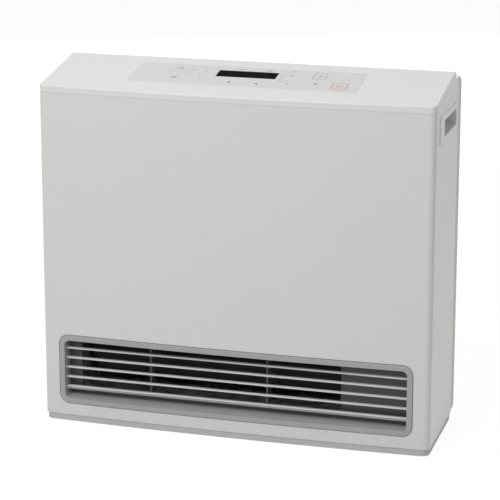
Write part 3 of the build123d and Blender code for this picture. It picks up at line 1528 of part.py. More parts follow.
def make_pieces():
    """Every piece under the name of its node."""
    pieces = {
        "base_plinth": make_base_plinth(),
        "base_feet": make_base_feet(),
        "floor_pan": make_floor_pan(),
        "front_casing": make_front_casing(),
        "top_cover": make_top_cover(),
        "panel_sheet": make_panel_sheet(),
        "display_window": make_display_window(),
        "grip_right": make_grip(1),
        "grip_left": make_grip(-1),
        "outlet_bezel": make_outlet_bezel(),
        "duct_mouth": make_duct_mouth(),
        "fan_side_left": make_fan_side(-1),
        "fan_side_right": make_fan_side(1),
        "fan_scroll": make_fan_scroll(),
        "fan_tongue": make_fan_tongue(),
        "fan_rotor": make_fan_rotor(),
        "fan_stub": make_rod(STUB_X0, ROTOR_X0 + HUB_L, SHAFT_R),
        "motor_shaft": make_rod(ROTOR_X1 - HUB_L, MOTOR_X0 + MOTOR_SHAFT_L, SHAFT_R),
        "fan_bush": make_rod(BUSH_X0, BUSH_X0 + BUSH_L, BUSH_R, SHAFT_R + RUNNING),
        "bush_mount": make_bush_mount(),
        "fan_motor": make_fan_motor(),
        "motor_bracket": make_motor_bracket(),
        "motor_screws": make_screws(motor_screw_seats(), (-1, 0, 0), MOTOR_SCREW_L),
        "inner_bracket": make_inner_bracket(),
        "combustion_chamber": make_combustion_chamber(),
        "burner": make_burner(),
        "spark_electrode": make_rod_electrode(SPARK_X, 0.5),
        "flame_rod": make_rod_electrode(FLAME_X, 6.0),
        "gas_valve": make_gas_valve(),
        "gas_pipe": make_gas_pipe(),
        "feed_pipe": make_feed_pipe(),
        "gas_plug": make_gas_plug(),
        "control_board": make_control_board(),
        "display_board": make_display_board(),
        "igniter": make_igniter(),
        "tip_over_switch": make_tip_switch(),
        "room_thermistor": make_room_thermistor(),
        "overheat_limiter": make_overheat_limiter(),
        "rear_cover": make_rear_cover(),
        "cord_gland": make_cord_gland(),
        "filter_frame": make_filter_frame(),
        "filter_mesh": make_filter_mesh(),
        "rear_screws": make_screws(rear_screw_places(), (0, 1, 0), SCREW_L),
        "base_screws": make_screws(base_screw_seats(), (0, 0, -1), 8.0),
    }
    for index, z in enumerate(slat_heights(), start=1):
        pieces[f"louvre_slat_{index}"] = make_slat(z)
    for name, x in zip(("louvre_rib_left", "louvre_rib_right"), RIB_XS):
        pieces[name] = make_rib(x)
    for name, x, s, width, length in KEYS:
        pieces[name] = make_key(x, s, width, length)
    return pieces


def main():
    """Make every piece and write its STEP file."""
    for name, piece in make_pieces().items():
        piece.part.label = name
        export_step(piece.part, f"parts/{name}.step")


if __name__ == "__main__":
    main()
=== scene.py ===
"""Gas fan heater: finishes, panel prints, filter net, floor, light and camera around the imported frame."""
import logging
import math
from dataclasses import dataclass, field
from enum import Enum
from typing import Any, Callable

import bmesh
import bpy
from mathutils import Matrix, Vector


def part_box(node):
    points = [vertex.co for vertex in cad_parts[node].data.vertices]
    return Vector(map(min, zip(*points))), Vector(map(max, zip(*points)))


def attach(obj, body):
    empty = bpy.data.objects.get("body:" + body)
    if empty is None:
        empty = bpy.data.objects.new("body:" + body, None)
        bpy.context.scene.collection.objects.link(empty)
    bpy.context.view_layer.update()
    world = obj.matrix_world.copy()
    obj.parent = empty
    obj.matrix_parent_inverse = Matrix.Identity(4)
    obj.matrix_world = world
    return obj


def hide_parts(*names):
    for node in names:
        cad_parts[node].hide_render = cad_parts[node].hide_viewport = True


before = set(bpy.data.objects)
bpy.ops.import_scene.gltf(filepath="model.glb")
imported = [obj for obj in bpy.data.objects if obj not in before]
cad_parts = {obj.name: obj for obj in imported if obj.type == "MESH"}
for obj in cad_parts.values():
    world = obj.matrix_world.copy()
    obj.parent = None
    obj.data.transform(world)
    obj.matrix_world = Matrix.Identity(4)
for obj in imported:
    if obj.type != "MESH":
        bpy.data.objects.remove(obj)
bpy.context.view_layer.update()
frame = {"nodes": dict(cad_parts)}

LOG = logging.getLogger("gas_fan_heater")

MM = 0.001
ACROSS = (1.0, 0.0, 0.0)
INWARD = (0.0, 1.0, 0.0)
UPRIGHT = (0.0, 0.0, 1.0)
Rgb = tuple[float, float, float]
Point2 = tuple[float, float]
Point3 = tuple[float, float, float]
Outline = list[Point2]


# Shader tools


class Value:
    """A number that varies over a surface: one output socket, with arithmetic."""

    def __init__(self, shader: "Shader", socket: bpy.types.NodeSocket) -> None:
        """Hold the shader and the output socket of the number."""
        self.shader = shader
        self.socket = socket

    def _math(self, operation: str, first: Any, second: Any) -> "Value":
        """Add one Math node.

        Args:
            operation: Blender's name of the Math operation.
            first: the first value or number.
            second: the second value or number.

        Returns:
            The result as a Value.
        """
        node = self.shader.node("ShaderNodeMath", {"operation": operation}, {0: first, 1: second})
        return Value(self.shader, node.outputs[0])

    def __add__(self, other: Any) -> "Value":
        """Give self + other."""
        return self._math("ADD", self, other)

    def __radd__(self, other: Any) -> "Value":
        """Give other + self."""
        return self._math("ADD", other, self)

    def __sub__(self, other: Any) -> "Value":
        """Give self - other."""
        return self._math("SUBTRACT", self, other)

    def __rsub__(self, other: Any) -> "Value":
        """Give other - self."""
        return self._math("SUBTRACT", other, self)

    def __mul__(self, other: Any) -> "Value":
        """Give self * other."""
        return self._math("MULTIPLY", self, other)

    def __rmul__(self, other: Any) -> "Value":
        """Give other * self."""
        return self._math("MULTIPLY", other, self)

    def __truediv__(self, other: Any) -> "Value":
        """Give self / other."""
        return self._math("DIVIDE", self, other)

    def wave(self) -> "Value":
        """Give the sine of the value."""
        return self._math("SINE", self, 0.0)

    def size(self) -> "Value":
        """Give the value without its sign."""
        return self._math("ABSOLUTE", self, 0.0)

    def lowest(self, other: Any) -> "Value":
        """Give the smaller of self and other."""
        return self._math("MINIMUM", self, other)

    def step(self, low: float, high: float) -> "Value":
        """Turn the value into a smooth 0 to 1 between two levels.

        Args:
            low: level that gives 0.
            high: level that gives 1.

        Returns:
            The smooth step as a Value.
        """
        node = self.shader.node(
            "ShaderNodeMapRange",
            {"interpolation_type": "SMOOTHSTEP"},
            {"Value": self, "From Min": low, "From Max": high},
        )
        return Value(self.shader, node.outputs["Result"])


class Shader:
    """The node tree of one material, or of the world, and the nodes in it."""

    def __init__(self, owner: bpy.types.Material | bpy.types.World) -> None:
        """Start an empty node tree.

        Args:
            owner: the material or world that the tree belongs to.
        """
        owner.use_nodes = True
        self.owner = owner
        self.tree = owner.node_tree
        self.tree.nodes.clear()

    @classmethod
    def for_material(cls, name: str) -> "Shader":
        """Start the shader of a new material."""
        return cls(bpy.data.materials.new(name))

    def node(self, kind: str, settings: dict[str, Any] | None = None,
             inputs: dict[Any, Any] | None = None) -> bpy.types.Node:
        """Add one node.

        Args:
            kind: the node's type name.
            settings: properties of the node, set first; "stops" holds a ramp's stops.
            inputs: values or links, by the name or number of the input socket.

        Returns:
            The new node.
        """
        node = self.tree.nodes.new(kind)
        for key, value in (settings or {}).items():
            if key == "stops":
                self._set_stops(node, value)
            else:
                setattr(node, key, value)
        for key, value in (inputs or {}).items():
            self.feed(node.inputs[key], value)
        return node

    @staticmethod
    def _set_stops(node: bpy.types.Node, stops: list[tuple[float, Rgb]]) -> None:
        """Give a ramp its stops.

        Args:
            node: the ramp node.
            stops: position and colour of each stop, in rising order.
        """
        elements = node.color_ramp.elements
        while len(elements) < len(stops):
            elements.new(1.0)
        for element, (position, colour) in zip(elements, stops):
            element.position = position
            element.color = (*colour, 1.0)

    def feed(self, socket: bpy.types.NodeSocket, value: Any) -> None:
        """Link an output to a socket, or set the socket's own number.

        Args:
            socket: the input socket.
            value: a Value, an output socket, or a plain number or tuple.
        """
        if isinstance(value, Value):
            self.tree.links.new(value.socket, socket)
        elif isinstance(value, bpy.types.NodeSocket):
            self.tree.links.new(value, socket)
        elif socket.type == "RGBA" and len(value) == 3:
            socket.default_value = (*value, 1.0)
        else:
            socket.default_value = value

    def place(self) -> bpy.types.NodeSocket:
        """Give the object coordinates."""
        return self.node("ShaderNodeTexCoord").outputs["Object"]

    def stretched(self, scale: Point3) -> bpy.types.NodeSocket:
        """Give the object coordinates times a scale along each axis.

        Args:
            scale: factor for X, Y and Z.

        Returns:
            The vector output.
        """
        node = self.node("ShaderNodeVectorMath", {"operation": "MULTIPLY"}, {0: self.place(), 1: scale})
        return node.outputs["Vector"]

    def axis(self, direction: Point3, origin: Point3 = (0.0, 0.0, 0.0)) -> Value:
        """Give the distance of a point from an origin, measured along a direction.

        Args:
            direction: unit vector.
            origin: point that gives zero, in metres.

        Returns:
            The distance in metres as a Value.
        """
        away = self.node("ShaderNodeVectorMath", {"operation": "SUBTRACT"}, {0: self.place(), 1: origin})
        along = self.node(
            "ShaderNodeVectorMath", {"operation": "DOT_PRODUCT"}, {0: away.outputs["Vector"], 1: direction}
        )
        return Value(self, along.outputs["Value"])

    def noise(self, scale: float, detail: float = 2.0, vector: Any = None) -> Value:
        """Give smooth noise between 0 and 1.

        Args:
            scale: number of waves in a metre.
            detail: number of finer layers.
            vector: coordinates to read, the object's own when left out.

        Returns:
            The noise as a Value.
        """
        node = self.node(
            "ShaderNodeTexNoise", {"noise_dimensions": "3D"},
            {"Vector": vector or self.place(), "Scale": scale, "Detail": detail},
        )
        return Value(self, node.outputs["Fac"])

    def cells(self, scale: float, feature: str = "F1") -> bpy.types.Node:
        """Give a Voronoi node of loose cells.

        Args:
            scale: number of cells in a metre.
            feature: Blender's name of what the cells measure.

        Returns:
            The Voronoi node.
        """
        inputs = {"Vector": self.place(), "Scale": scale}
        return self.node("ShaderNodeTexVoronoi", {"feature": feature}, inputs)

    def mix(self, factor: Any, first: Any, second: Any) -> bpy.types.NodeSocket:
        """Blend two colours.

        Args:
            factor: 0 for the first colour, 1 for the second.
            first: colour or colour output.
            second: colour or colour output.

        Returns:
            The colour output.
        """
        node = self.node("ShaderNodeMix", {"data_type": "RGBA"}, {0: factor, 6: first, 7: second})
        return node.outputs[2]

    def ramp(self, factor: Value, stops: list[tuple[float, Rgb]]) -> bpy.types.NodeSocket:
        """Turn a value into a colour.

        Args:
            factor: value from 0 to 1.
            stops: position and colour of each stop.

        Returns:
            The colour output.
        """
        return self.node("ShaderNodeValToRGB", {"stops": stops}, {"Fac": factor}).outputs["Color"]

    def bump(self, height: Value, depth: float) -> bpy.types.NodeSocket:
        """Turn a height into a normal.

        Args:
            height: value from 0 to 1.
            depth: what a height of 1 is, in metres.

        Returns:
            The normal output.
        """
        node = self.node("ShaderNodeBump", None, {"Strength": 1.0, "Distance": depth, "Height": height})
        return node.outputs["Normal"]

    def surface(self, inputs: dict[str, Any]) -> bpy.types.Material:
        """Close the tree with a Principled shader.

        Args:
            inputs: values, colours and links of the shader's sockets.

        Returns:
            The finished material.
        """
        body = self.node("ShaderNodeBsdfPrincipled", None, inputs)
        return self.close(body.outputs["BSDF"])

    def close(self, shader: bpy.types.NodeSocket) -> bpy.types.Material:
        """Link a shader to the material's output.

        Args:
            shader: the shader output.

        Returns:
            The finished material.
        """
        self.node("ShaderNodeOutputMaterial", None, {"Surface": shader})
        return self.owner


def linked(name: str, data: Any) -> bpy.types.Object:
    """Make an object at the origin and link it to the scene.

    Args:
        name: the object's name.
        data: its mesh, light or camera.

    Returns:
        The new object.
    """
    thing = bpy.data.objects.new(name, data)
    bpy.context.scene.collection.objects.link(thing)
    return thing


def shade(colour: Rgb, factor: float) -> Rgb:
    """Make a colour lighter or darker.

    Args:
        colour: linear colour.
        factor: what each channel is multiplied by.

    Returns:
        The new colour, held to 1.
    """
    return tuple(min(1.0, channel * factor) for channel in colour)


# Finishes


@dataclass(frozen=True)
class Finish:
    """A finish with one colour, a fine grain and a soft cloud in its tone.

    Grain, drift and other counts are waves or cells in a metre, and depths and places are in metres.
    """

    name: str
    colour: Rgb
    roughness: float = 0.5
    grain: float = 1500.0
    grain_depth: float = 0.00003
    cloud: float = 0.02
    spread: float = 0.06
    metallic: float = 0.0
    specular: float = 0.5
    drift: float = 11.0
    wear: float = 23.0

    def tone(self, shader: Shader) -> bpy.types.NodeSocket:
        """Give the colour with its cloud.

        Args:
            shader: the material being made.

        Returns:
            The colour output.
        """
        cloud = shader.noise(self.drift, 3.0).step(0.3, 0.7)
        return shader.mix(cloud, shade(self.colour, 1 - self.cloud), shade(self.colour, 1 + self.cloud))

    def height(self, shader: Shader) -> Value:
        """Give the height of the fine grain."""
        return shader.noise(self.grain, 2.0)

    def gloss(self, shader: Shader, height: Value) -> Value:
        """Give the roughness, a little rougher where the grain stands high."""
        worn = shader.noise(self.wear) - 0.5
        return (height - 0.5) * self.spread + worn * self.spread + self.roughness

    def material(self) -> bpy.types.Material:
        """Build the material.

        Returns:
            The finished material.
        """
        shader = Shader.for_material(self.name)
        height = self.height(shader)
        return shader.surface({
            "Base Color": self.tone(shader),
            "Roughness": self.gloss(shader, height),
            "Metallic": self.metallic,
            "Specular IOR Level": self.specular,
            "Normal": shader.bump(height, self.grain_depth),
        })


@dataclass(frozen=True)
class PaintedSheet(Finish):
    """Satin powder paint on steel sheet: orange peel, dust low down, and a painted seam shadow along the top
    edge.
    """

    peel: float = 620.0
    # Colour of the dust low down, and also of the painted seam shadow at the top edge.
    dust_and_shade: Rgb = (0.50, 0.49, 0.47)
    dust_top: float = 0.05
    dust_waves: float = 160.0
    dust_share: float = 0.22
    # Heights where the painted seam shadow starts and where it is full, and how strongly it darkens.
    joint_shade: Point2 = (0.3761, 0.3766)
    joint_shade_share: float = 0.45

    def height(self, shader: Shader) -> Value:
        """Give soft orange peel with finer grain on it."""
        return shader.noise(self.peel, 1.0) * 0.8 + shader.noise(self.grain, 2.0) * 0.2

    def tone(self, shader: Shader) -> bpy.types.NodeSocket:
        """Give the paint's colour with dust near the floor and a painted shadow line at the seam under the
        cover.

        Args:
            shader: the material being made.

        Returns:
            The colour output.
        """
        low = 1 - shader.axis(UPRIGHT).step(0.0, self.dust_top)
        dusty = low * shader.noise(self.dust_waves, 4.0).step(0.45, 0.8) * self.dust_share
        # Painted shade: the casing's top edge is darkened to stand in for the shadow in the seam under the
        # top cover.
        joint_shade = shader.axis(UPRIGHT).step(*self.joint_shade) * self.joint_shade_share
        return shader.mix(joint_shade, shader.mix(dusty, super().tone(shader), self.dust_and_shade), self.dust_and_shade)


@dataclass(frozen=True)
class MouldedPlastic(Finish):
    """Spark-eroded grain of moulded plastic."""

    def height(self, shader: Shader) -> Value:
        """Give pebbled grain: small cells with soft noise between them."""
        pebbles = Value(shader, shader.cells(self.grain).outputs["Distance"])
        return pebbles.step(0.05, 0.6) * 0.6 + shader.noise(self.grain * 0.6, 3.0) * 0.4


@dataclass(frozen=True)
class SmokedWindow(Finish):
    """Smoked display window: near black, its ends a little darker, faintly wavy."""

    ends: Point2 = (0.022, 0.024)
    end_shade: float = 0.6
    smears: float = 60.0
    ripples: float = 45.0
    ripple_depth: float = 0.00005

    def material(self) -> bpy.types.Material:
        """Build the window.

        Returns:
            The finished material.
        """
        shader = Shader.for_material(self.name)
        smear = shader.noise(self.smears, 4.0)
        end = shader.axis(ACROSS).size().step(*self.ends)
        colour = shader.mix(end, self.colour, shade(self.colour, self.end_shade))
        return shader.surface({
            "Base Color": colour,
            "Roughness": (smear - 0.5) * self.spread + self.roughness,
            "Specular IOR Level": self.specular,
            "Normal": shader.bump(shader.noise(self.ripples, 1.0), self.ripple_depth),
        })


@dataclass(frozen=True)
class ZincSheet(Finish):
    """Zinc-plated steel sheet with its spangle of flat crystals."""

    spangle: float = 110.0
    spangle_shades: Point2 = (0.82, 1.16)
    scratches: float = 40.0
    scratch_stretch: Point3 = (1.0, 14.0, 14.0)
    seam_depth: float = 0.00004

    def material(self) -> bpy.types.Material:
        """Build the spangle.

        Returns:
            The finished material.
        """
        shader = Shader.for_material(self.name)
        crystal = shader.cells(self.spangle)
        grey = shader.node("ShaderNodeSeparateColor", None, {"Color": crystal.outputs["Color"]})
        level = Value(shader, grey.outputs["Red"])
        seam = Value(shader, shader.cells(self.spangle, "DISTANCE_TO_EDGE").outputs["Distance"])
        scratch = shader.noise(self.scratches, 3.0, shader.stretched(self.scratch_stretch))
        dark, bright = (shade(self.colour, factor) for factor in self.spangle_shades)
        return shader.surface({
            "Base Color": shader.mix(level, dark, bright),
            "Metallic": self.metallic,
            "Roughness": level * 0.16 + scratch * 0.1 + self.roughness - 0.12,
            "Normal": shader.bump(seam.step(0.0, 0.05) * 0.5 + level * 0.5, self.seam_depth),
        })


@dataclass(frozen=True)
class HeatedSheet(Finish):
    """Steel sheet with straw, brown and blue heat colours round its hottest line."""

    hot_z: float = 0.235
    reach: float = 0.11
    ragged: float = 0.35
    ragged_waves: float = 26.0
    heat_colours: tuple[tuple[float, Rgb], ...] = (
        (0.0, (0.16, 0.17, 0.22)),
        (0.3, (0.24, 0.20, 0.24)),
        (0.5, (0.34, 0.24, 0.16)),
        (0.72, (0.44, 0.37, 0.25)),
    )

    def tone(self, shader: Shader) -> bpy.types.NodeSocket:
        """Give the heat colours by height, broken up by noise.

        Args:
            shader: the material being made.

        Returns:
            The colour output.
        """
        away = shader.axis(UPRIGHT, (0.0, 0.0, self.hot_z)).size() / self.reach
        uneven = away + (shader.noise(self.ragged_waves, 4.0) - 0.5) * self.ragged
        return shader.ramp(uneven, [*self.heat_colours, (1.0, self.colour)])


@dataclass(frozen=True)
class BrushedMetal(Finish):
    """Drawn or brushed metal, its fine lines along one axis."""

    lines: Point3 = (1.0, 30.0, 30.0)
    line_shades: Point2 = (0.88, 1.06)

    def height(self, shader: Shader) -> Value:
        """Give long fine lines."""
        return shader.noise(self.grain, 3.0, shader.stretched(self.lines))

    def tone(self, shader: Shader) -> bpy.types.NodeSocket:
        """Give the metal with darker lines in it.

        Args:
            shader: the material being made.

        Returns:
            The colour output.
        """
        line = shader.noise(self.grain * 0.5, 3.0, shader.stretched(self.lines)).step(0.3, 0.7)
        dark, bright = (shade(self.colour, factor) for factor in self.line_shades)
        return shader.mix(line, dark, bright)


@dataclass(frozen=True)
class WindingMotor(Finish):
    """Motor with a plated pressing round a varnished winding."""

    middle_x: float = 0.1507
    half_band: float = 0.0105
    band_edge: float = 0.0004
    sheet_waves: float = 9000.0
    sheet_gap: Rgb = (0.05, 0.05, 0.055)
    sheet_edge: Rgb = (0.16, 0.16, 0.17)
    sheet_depth: float = 0.00008
    plating_waves: float = 700.0
    plating_shades: Point2 = (0.9, 1.05)

    def material(self) -> bpy.types.Material:
        """Build plated ends and a dark laminated middle band.

        Returns:
            The finished material.
        """
        shader = Shader.for_material(self.name)
        along = shader.axis(ACROSS, (self.middle_x, 0.0, 0.0))
        band = 1 - along.size().step(self.half_band, self.half_band + self.band_edge)
        sheets = (along * self.sheet_waves).wave() * 0.5 + 0.5
        fine = shader.noise(self.plating_waves, 3.0)
        dark, bright = (shade(self.colour, factor) for factor in self.plating_shades)
        lamination = shader.mix(sheets, self.sheet_gap, self.sheet_edge)
        return shader.surface({
            "Base Color": shader.mix(band, shader.mix(fine, dark, bright), lamination),
            "Metallic": self.metallic,
            "Roughness": band * 0.2 + fine * 0.08 + self.roughness,
            "Normal": shader.bump(sheets * band * 0.7 + fine * 0.3, self.sheet_depth),
        })


@dataclass(frozen=True)
class CircuitBoard(Finish):
    """Green board with copper tracks under its lacquer, and dark components standing on it."""

    up: Point3 = (0.0, -1.0, 0.0)
    face: Point3 = (0.0, 0.0304, 0.0)
    standing_from: Point2 = (0.0001, 0.0004)
    track_cells: float = 150.0
    pad_cells: float = 420.0
    component_waves: float = 55.0
    solder: Rgb = (0.55, 0.55, 0.52)
    component: Rgb = (0.045, 0.045, 0.05)
    brown_component: Rgb = (0.12, 0.09, 0.04)
    relief: float = 0.00006

    def material(self) -> bpy.types.Material:
        """Build the lacquered board, its tracks and its components.

        Returns:
            The finished material.
        """
        shader = Shader.for_material(self.name)
        standing = shader.axis(self.up, self.face).step(*self.standing_from)
        edge = Value(shader, shader.cells(self.track_cells, "DISTANCE_TO_EDGE").outputs["Distance"])
        track = 1 - edge.step(0.03, 0.05)
        spot = shader.cells(self.pad_cells)
        pad = 1 - Value(shader, spot.outputs["Distance"]).step(0.16, 0.22)
        grain = shader.noise(self.grain, 2.0)
        lacquer = shader.mix(track, self.colour, shade(self.colour, 2.1))
        lacquer = shader.mix(pad * 0.8, lacquer, self.solder)
        body = shader.noise(self.component_waves, 0.0).step(0.5, 0.56)
        part = shader.mix(body, self.component, self.brown_component)
        return shader.surface({
            "Base Color": shader.mix(standing, lacquer, part),
            "Roughness": standing * 0.2 + grain * 0.08 + self.roughness,
            "Normal": shader.bump(track * 0.5 + grain * 0.2 + pad * 0.3, self.relief),
        })


@dataclass(frozen=True)
class GlazedRod(Finish):
    """Glazed ceramic with the bare metal tip of an electrode."""

    tip_y: float = -0.021
    tip_edge: float = 0.0006
    metal: Rgb = (0.35, 0.33, 0.31)
    soot: Rgb = (0.12, 0.10, 0.09)
    soot_waves: float = 300.0
    glaze_waves: float = 900.0
    glaze_shade: float = 0.92
    relief: float = 0.00004

    def material(self) -> bpy.types.Material:
        """Build glaze on the holder and scaled metal on the rod's end.

        Returns:
            The finished material.
        """
        shader = Shader.for_material(self.name)
        tip = shader.axis(INWARD).step(self.tip_y, self.tip_y + self.tip_edge)
        fine = shader.noise(self.glaze_waves, 3.0)
        sooty = shader.noise(self.soot_waves, 4.0).step(0.4, 0.8)
        metal = shader.mix(sooty, self.metal, self.soot)
        glaze = shader.mix(fine, self.colour, shade(self.colour, self.glaze_shade))
        return shader.surface({
            "Base Color": shader.mix(tip, glaze, metal),
            "Metallic": tip * 0.9,
            "Roughness": tip * 0.3 + fine * 0.06 + self.roughness,
            "Normal": shader.bump(fine, self.relief),
        })


@dataclass(frozen=True)
class Ink(Finish):
    """Screen-printed ink: even colour with the faint dots of the screen."""

    def height(self, shader: Shader) -> Value:
        """Give the print's screen of fine dots."""
        return 1 - Value(shader, shader.cells(self.grain).outputs["Distance"]).step(0.1, 0.7)


WHITE = (0.76, 0.755, 0.745)


class Look(Enum):
    """The finishes of the heater."""

    PAINT = PaintedSheet("satin_white_paint", WHITE, roughness=0.30, grain=1800.0, grain_depth=0.00002,
                         cloud=0.003, spread=0.015)
    COVER = MouldedPlastic("moulded_white_plastic", (0.80, 0.795, 0.785), roughness=0.32, grain=1500.0,
                           grain_depth=0.00003, cloud=0.004, spread=0.03)
    REAR = MouldedPlastic("moulded_rear_plastic", (0.72, 0.715, 0.705), roughness=0.52, grain=1300.0,
                          grain_depth=0.00005, cloud=0.015)
    FILM = Finish("panel_film_grey", (0.71, 0.71, 0.705), roughness=0.40, grain=2600.0,
                  grain_depth=0.00002, cloud=0.008, spread=0.05)
    KEYS = Finish("key_pad_film", (0.72, 0.72, 0.715), roughness=0.44, grain=2600.0, grain_depth=0.00003,
                  cloud=0.008, spread=0.05)
    WINDOW = SmokedWindow("smoked_window", (0.006, 0.006, 0.008), roughness=0.40, spread=0.06,
                          specular=0.003)
    BEZEL = MouldedPlastic("outlet_grey_plastic", (0.42, 0.42, 0.415), roughness=0.48, grain=1500.0,
                           grain_depth=0.00004, cloud=0.02)
    BASE = MouldedPlastic("base_grey_plastic", (0.56, 0.56, 0.55), roughness=0.52, grain=1500.0,
                          grain_depth=0.00005, cloud=0.02)
    SLAT = Finish("slat_light_grey", (0.72, 0.72, 0.71), roughness=0.40, grain=2000.0,
                  grain_depth=0.00002, cloud=0.015, spread=0.05)
    RIB = MouldedPlastic("rib_dark_grey", (0.07, 0.07, 0.07), roughness=0.5, grain=1500.0,
                         grain_depth=0.00003, cloud=0.03)
    FAN = MouldedPlastic("fan_dark_plastic", (0.012, 0.012, 0.013), roughness=0.55, grain=1500.0,
                         grain_depth=0.00004, cloud=0.08, specular=0.25)
    HOUSING = MouldedPlastic("black_moulded_plastic", (0.03, 0.03, 0.03), roughness=0.46, grain=1600.0,
                             grain_depth=0.00004, cloud=0.08)
    NET = Finish("filter_net_thread", (0.05, 0.05, 0.052), roughness=0.6, grain=4000.0,
                 grain_depth=0.00002, cloud=0.1)
    FRAME = MouldedPlastic("filter_frame_grey", (0.24, 0.245, 0.25), roughness=0.5, grain=1600.0,
                           grain_depth=0.00004, cloud=0.02)
    DUCT = HeatedSheet("duct_plate_dark_sheet", (0.085, 0.085, 0.085), roughness=0.5, grain=900.0,
                       grain_depth=0.00004, cloud=0.05, metallic=0.25, hot_z=0.0, reach=0.02)
    CHAMBER = HeatedSheet("heat_tinted_sheet", (0.50, 0.49, 0.47), roughness=0.42, grain=900.0,
                          grain_depth=0.00005, cloud=0.05, metallic=0.9)
    ZINC = ZincSheet("zinc_spangle_sheet", (0.56, 0.58, 0.60), roughness=0.42, metallic=0.95)
    STEEL = BrushedMetal("plain_steel", (0.56, 0.56, 0.56), roughness=0.32, grain=600.0,
                         grain_depth=0.00002, metallic=1.0)
    MOTOR = WindingMotor("motor_steel_and_winding", (0.58, 0.58, 0.57), roughness=0.34, metallic=0.85)
    CAST = Finish("cast_aluminium", (0.58, 0.58, 0.58), roughness=0.46, grain=700.0, grain_depth=0.00018,
                  cloud=0.05, metallic=0.95)
    BRASS = BrushedMetal("turned_brass", (0.72, 0.53, 0.24), roughness=0.26, grain=500.0,
                         grain_depth=0.00002, metallic=1.0, lines=(1.0, 1.0, 24.0))
    RUBBER = Finish("black_rubber", (0.035, 0.034, 0.033), roughness=0.78, grain=800.0,
                    grain_depth=0.00008, cloud=0.12)
    MAIN_BOARD = CircuitBoard("main_circuit_board", (0.02, 0.12, 0.05), roughness=0.3, grain=1500.0)
    KEY_BOARD = CircuitBoard("display_circuit_board", (0.02, 0.12, 0.05), roughness=0.3, grain=1500.0,
                             up=(0.0, -0.1594, 0.9872), face=(0.0, -0.06833, 0.37403))
    CERAMIC = GlazedRod("glazed_electrode", (0.80, 0.78, 0.72), roughness=0.2)
    SENSOR = Finish("sensor_white_plastic", (0.70, 0.69, 0.66), roughness=0.45, grain=1500.0,
                    grain_depth=0.00004)
    DARK_INK = Ink("dark_grey_ink", (0.10, 0.10, 0.11), roughness=0.5, grain=3000.0, grain_depth=0.00001)
    SOFT_INK = Ink("soft_grey_ink", (0.30, 0.30, 0.31), roughness=0.5, grain=3000.0, grain_depth=0.00001)
    RED_INK = Ink("orange_red_ink", (0.72, 0.13, 0.05), roughness=0.5, grain=3000.0, grain_depth=0.00001)
    LENS = Finish("lamp_lens", (0.50, 0.51, 0.52), roughness=0.2, grain=900.0, grain_depth=0.00001)


class Materials:
    """Makes each finish once and hands it out."""

    def __init__(self) -> None:
        """Start with nothing made."""
        self.made: dict[Look, bpy.types.Material] = {}

    def get(self, look: Look) -> bpy.types.Material:
        """Give the material of a finish, made at its first use.

        Args:
            look: the finish.

        Returns:
            The material.
        """
        if look not in self.made:
            self.made[look] = look.value.material()
        return self.made[look]

    def dress(self, thing: bpy.types.Object, look: Look) -> None:
        """Give an object one finish all over.

        Args:
            thing: the object.
            look: the finish.
        """
        thing.data.materials.clear()
        thing.data.materials.append(self.get(look))


# Meshes


@dataclass(frozen=True)
class Slope:
    """The sloping top: places across it, up it and off it, in millimetres."""

    front_y: float = -70.0
    front_z: float = 384.4
    rise: float = 17.6
    run: float = 109.0

    @property
    def angle(self) -> float:
        """Give the slope's angle in radians."""
        return math.atan2(self.rise, self.run)

    def at(self, x: float, up: float, off: float) -> Vector:
        """Give a point of the slope.

        Args:
            x: place across, to the viewer's right.
            up: distance up the slope from its front edge.
            off: distance above the surface.

        Returns:
            The point in metres.
        """
        sine, cosine = math.sin(self.angle), math.cos(self.angle)
        y = self.front_y + up * cosine - off * sine
        z = self.front_z + up * sine + off * cosine
        return Vector((x, y, z)) * MM

    def top_of(self, node: str) -> float:
        """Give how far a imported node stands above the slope.

        Args:
            node: the node's name.

        Returns:
            The height in millimetres.
        """
        sine, cosine = math.sin(self.angle), math.cos(self.angle)
        normal = Vector((0.0, -sine, cosine))
        origin = Vector((0.0, self.front_y, self.front_z)) * MM
        thing = bpy.data.objects[node]
        return max((vertex.co - origin).dot(normal) for vertex in thing.data.vertices) / MM


class Plot:
    """Flat outlines and strokes, in millimetres on a plane."""

    @staticmethod
    def arc(middle: Point2, radius: float, start: float, end: float, steps: int = 24) -> Outline:
        """Give points along an arc.

        Args:
            middle: centre of the arc.
            radius: its radius.
            start: first angle in degrees.
            end: last angle in degrees.
            steps: number of pieces.

        Returns:
            The points in order.
        """
        turns = [math.radians(start + (end - start) * i / steps) for i in range(steps + 1)]
        return [(middle[0] + radius * math.cos(t), middle[1] + radius * math.sin(t)) for t in turns]

    @staticmethod
    def rounded(middle: Point2, width: float, length: float, corner: float, steps: int = 5) -> Outline:
        """Give a rectangle with round corners.

        Args:
            middle: its centre.
            width: size across.
            length: size up the slope.
            corner: radius of the corners.
            steps: number of pieces of each corner.

        Returns:
            The points in order, anticlockwise.
        """
        points: Outline = []
        dx, dy = width / 2 - corner, length / 2 - corner
        for turn, (sx, sy) in enumerate(((1, 1), (-1, 1), (-1, -1), (1, -1))):
            corner_at = (middle[0] + sx * dx, middle[1] + sy * dy)
            points += Plot.arc(corner_at, corner, 90.0 * turn, 90.0 * turn + 90.0, steps)
        return points

    @staticmethod
    def stroke(line: Outline, width: float, closed: bool = False) -> list[Outline]:
        """Give the two sides of a line drawn with a width.

        Args:
            line: middle points of the line.
            width: width of the line.
            closed: True when the end joins the start.

        Returns:
            The left side and the right side, with as many points as the line.
        """
        left: Outline = []
        right: Outline = []
        count = len(line)
        for i, (x, y) in enumerate(line):
            before = line[(i - 1) % count] if closed or i else line[i]
            after = line[(i + 1) % count] if closed or i < count - 1 else line[i]
            dx, dy = after[0] - before[0], after[1] - before[1]
            size = math.hypot(dx, dy) or 1.0
            nx, ny = -dy / size * width / 2, dx / size * width / 2
            left.append((x + nx, y + ny))
            right.append((x - nx, y - ny))
        return [left, right]


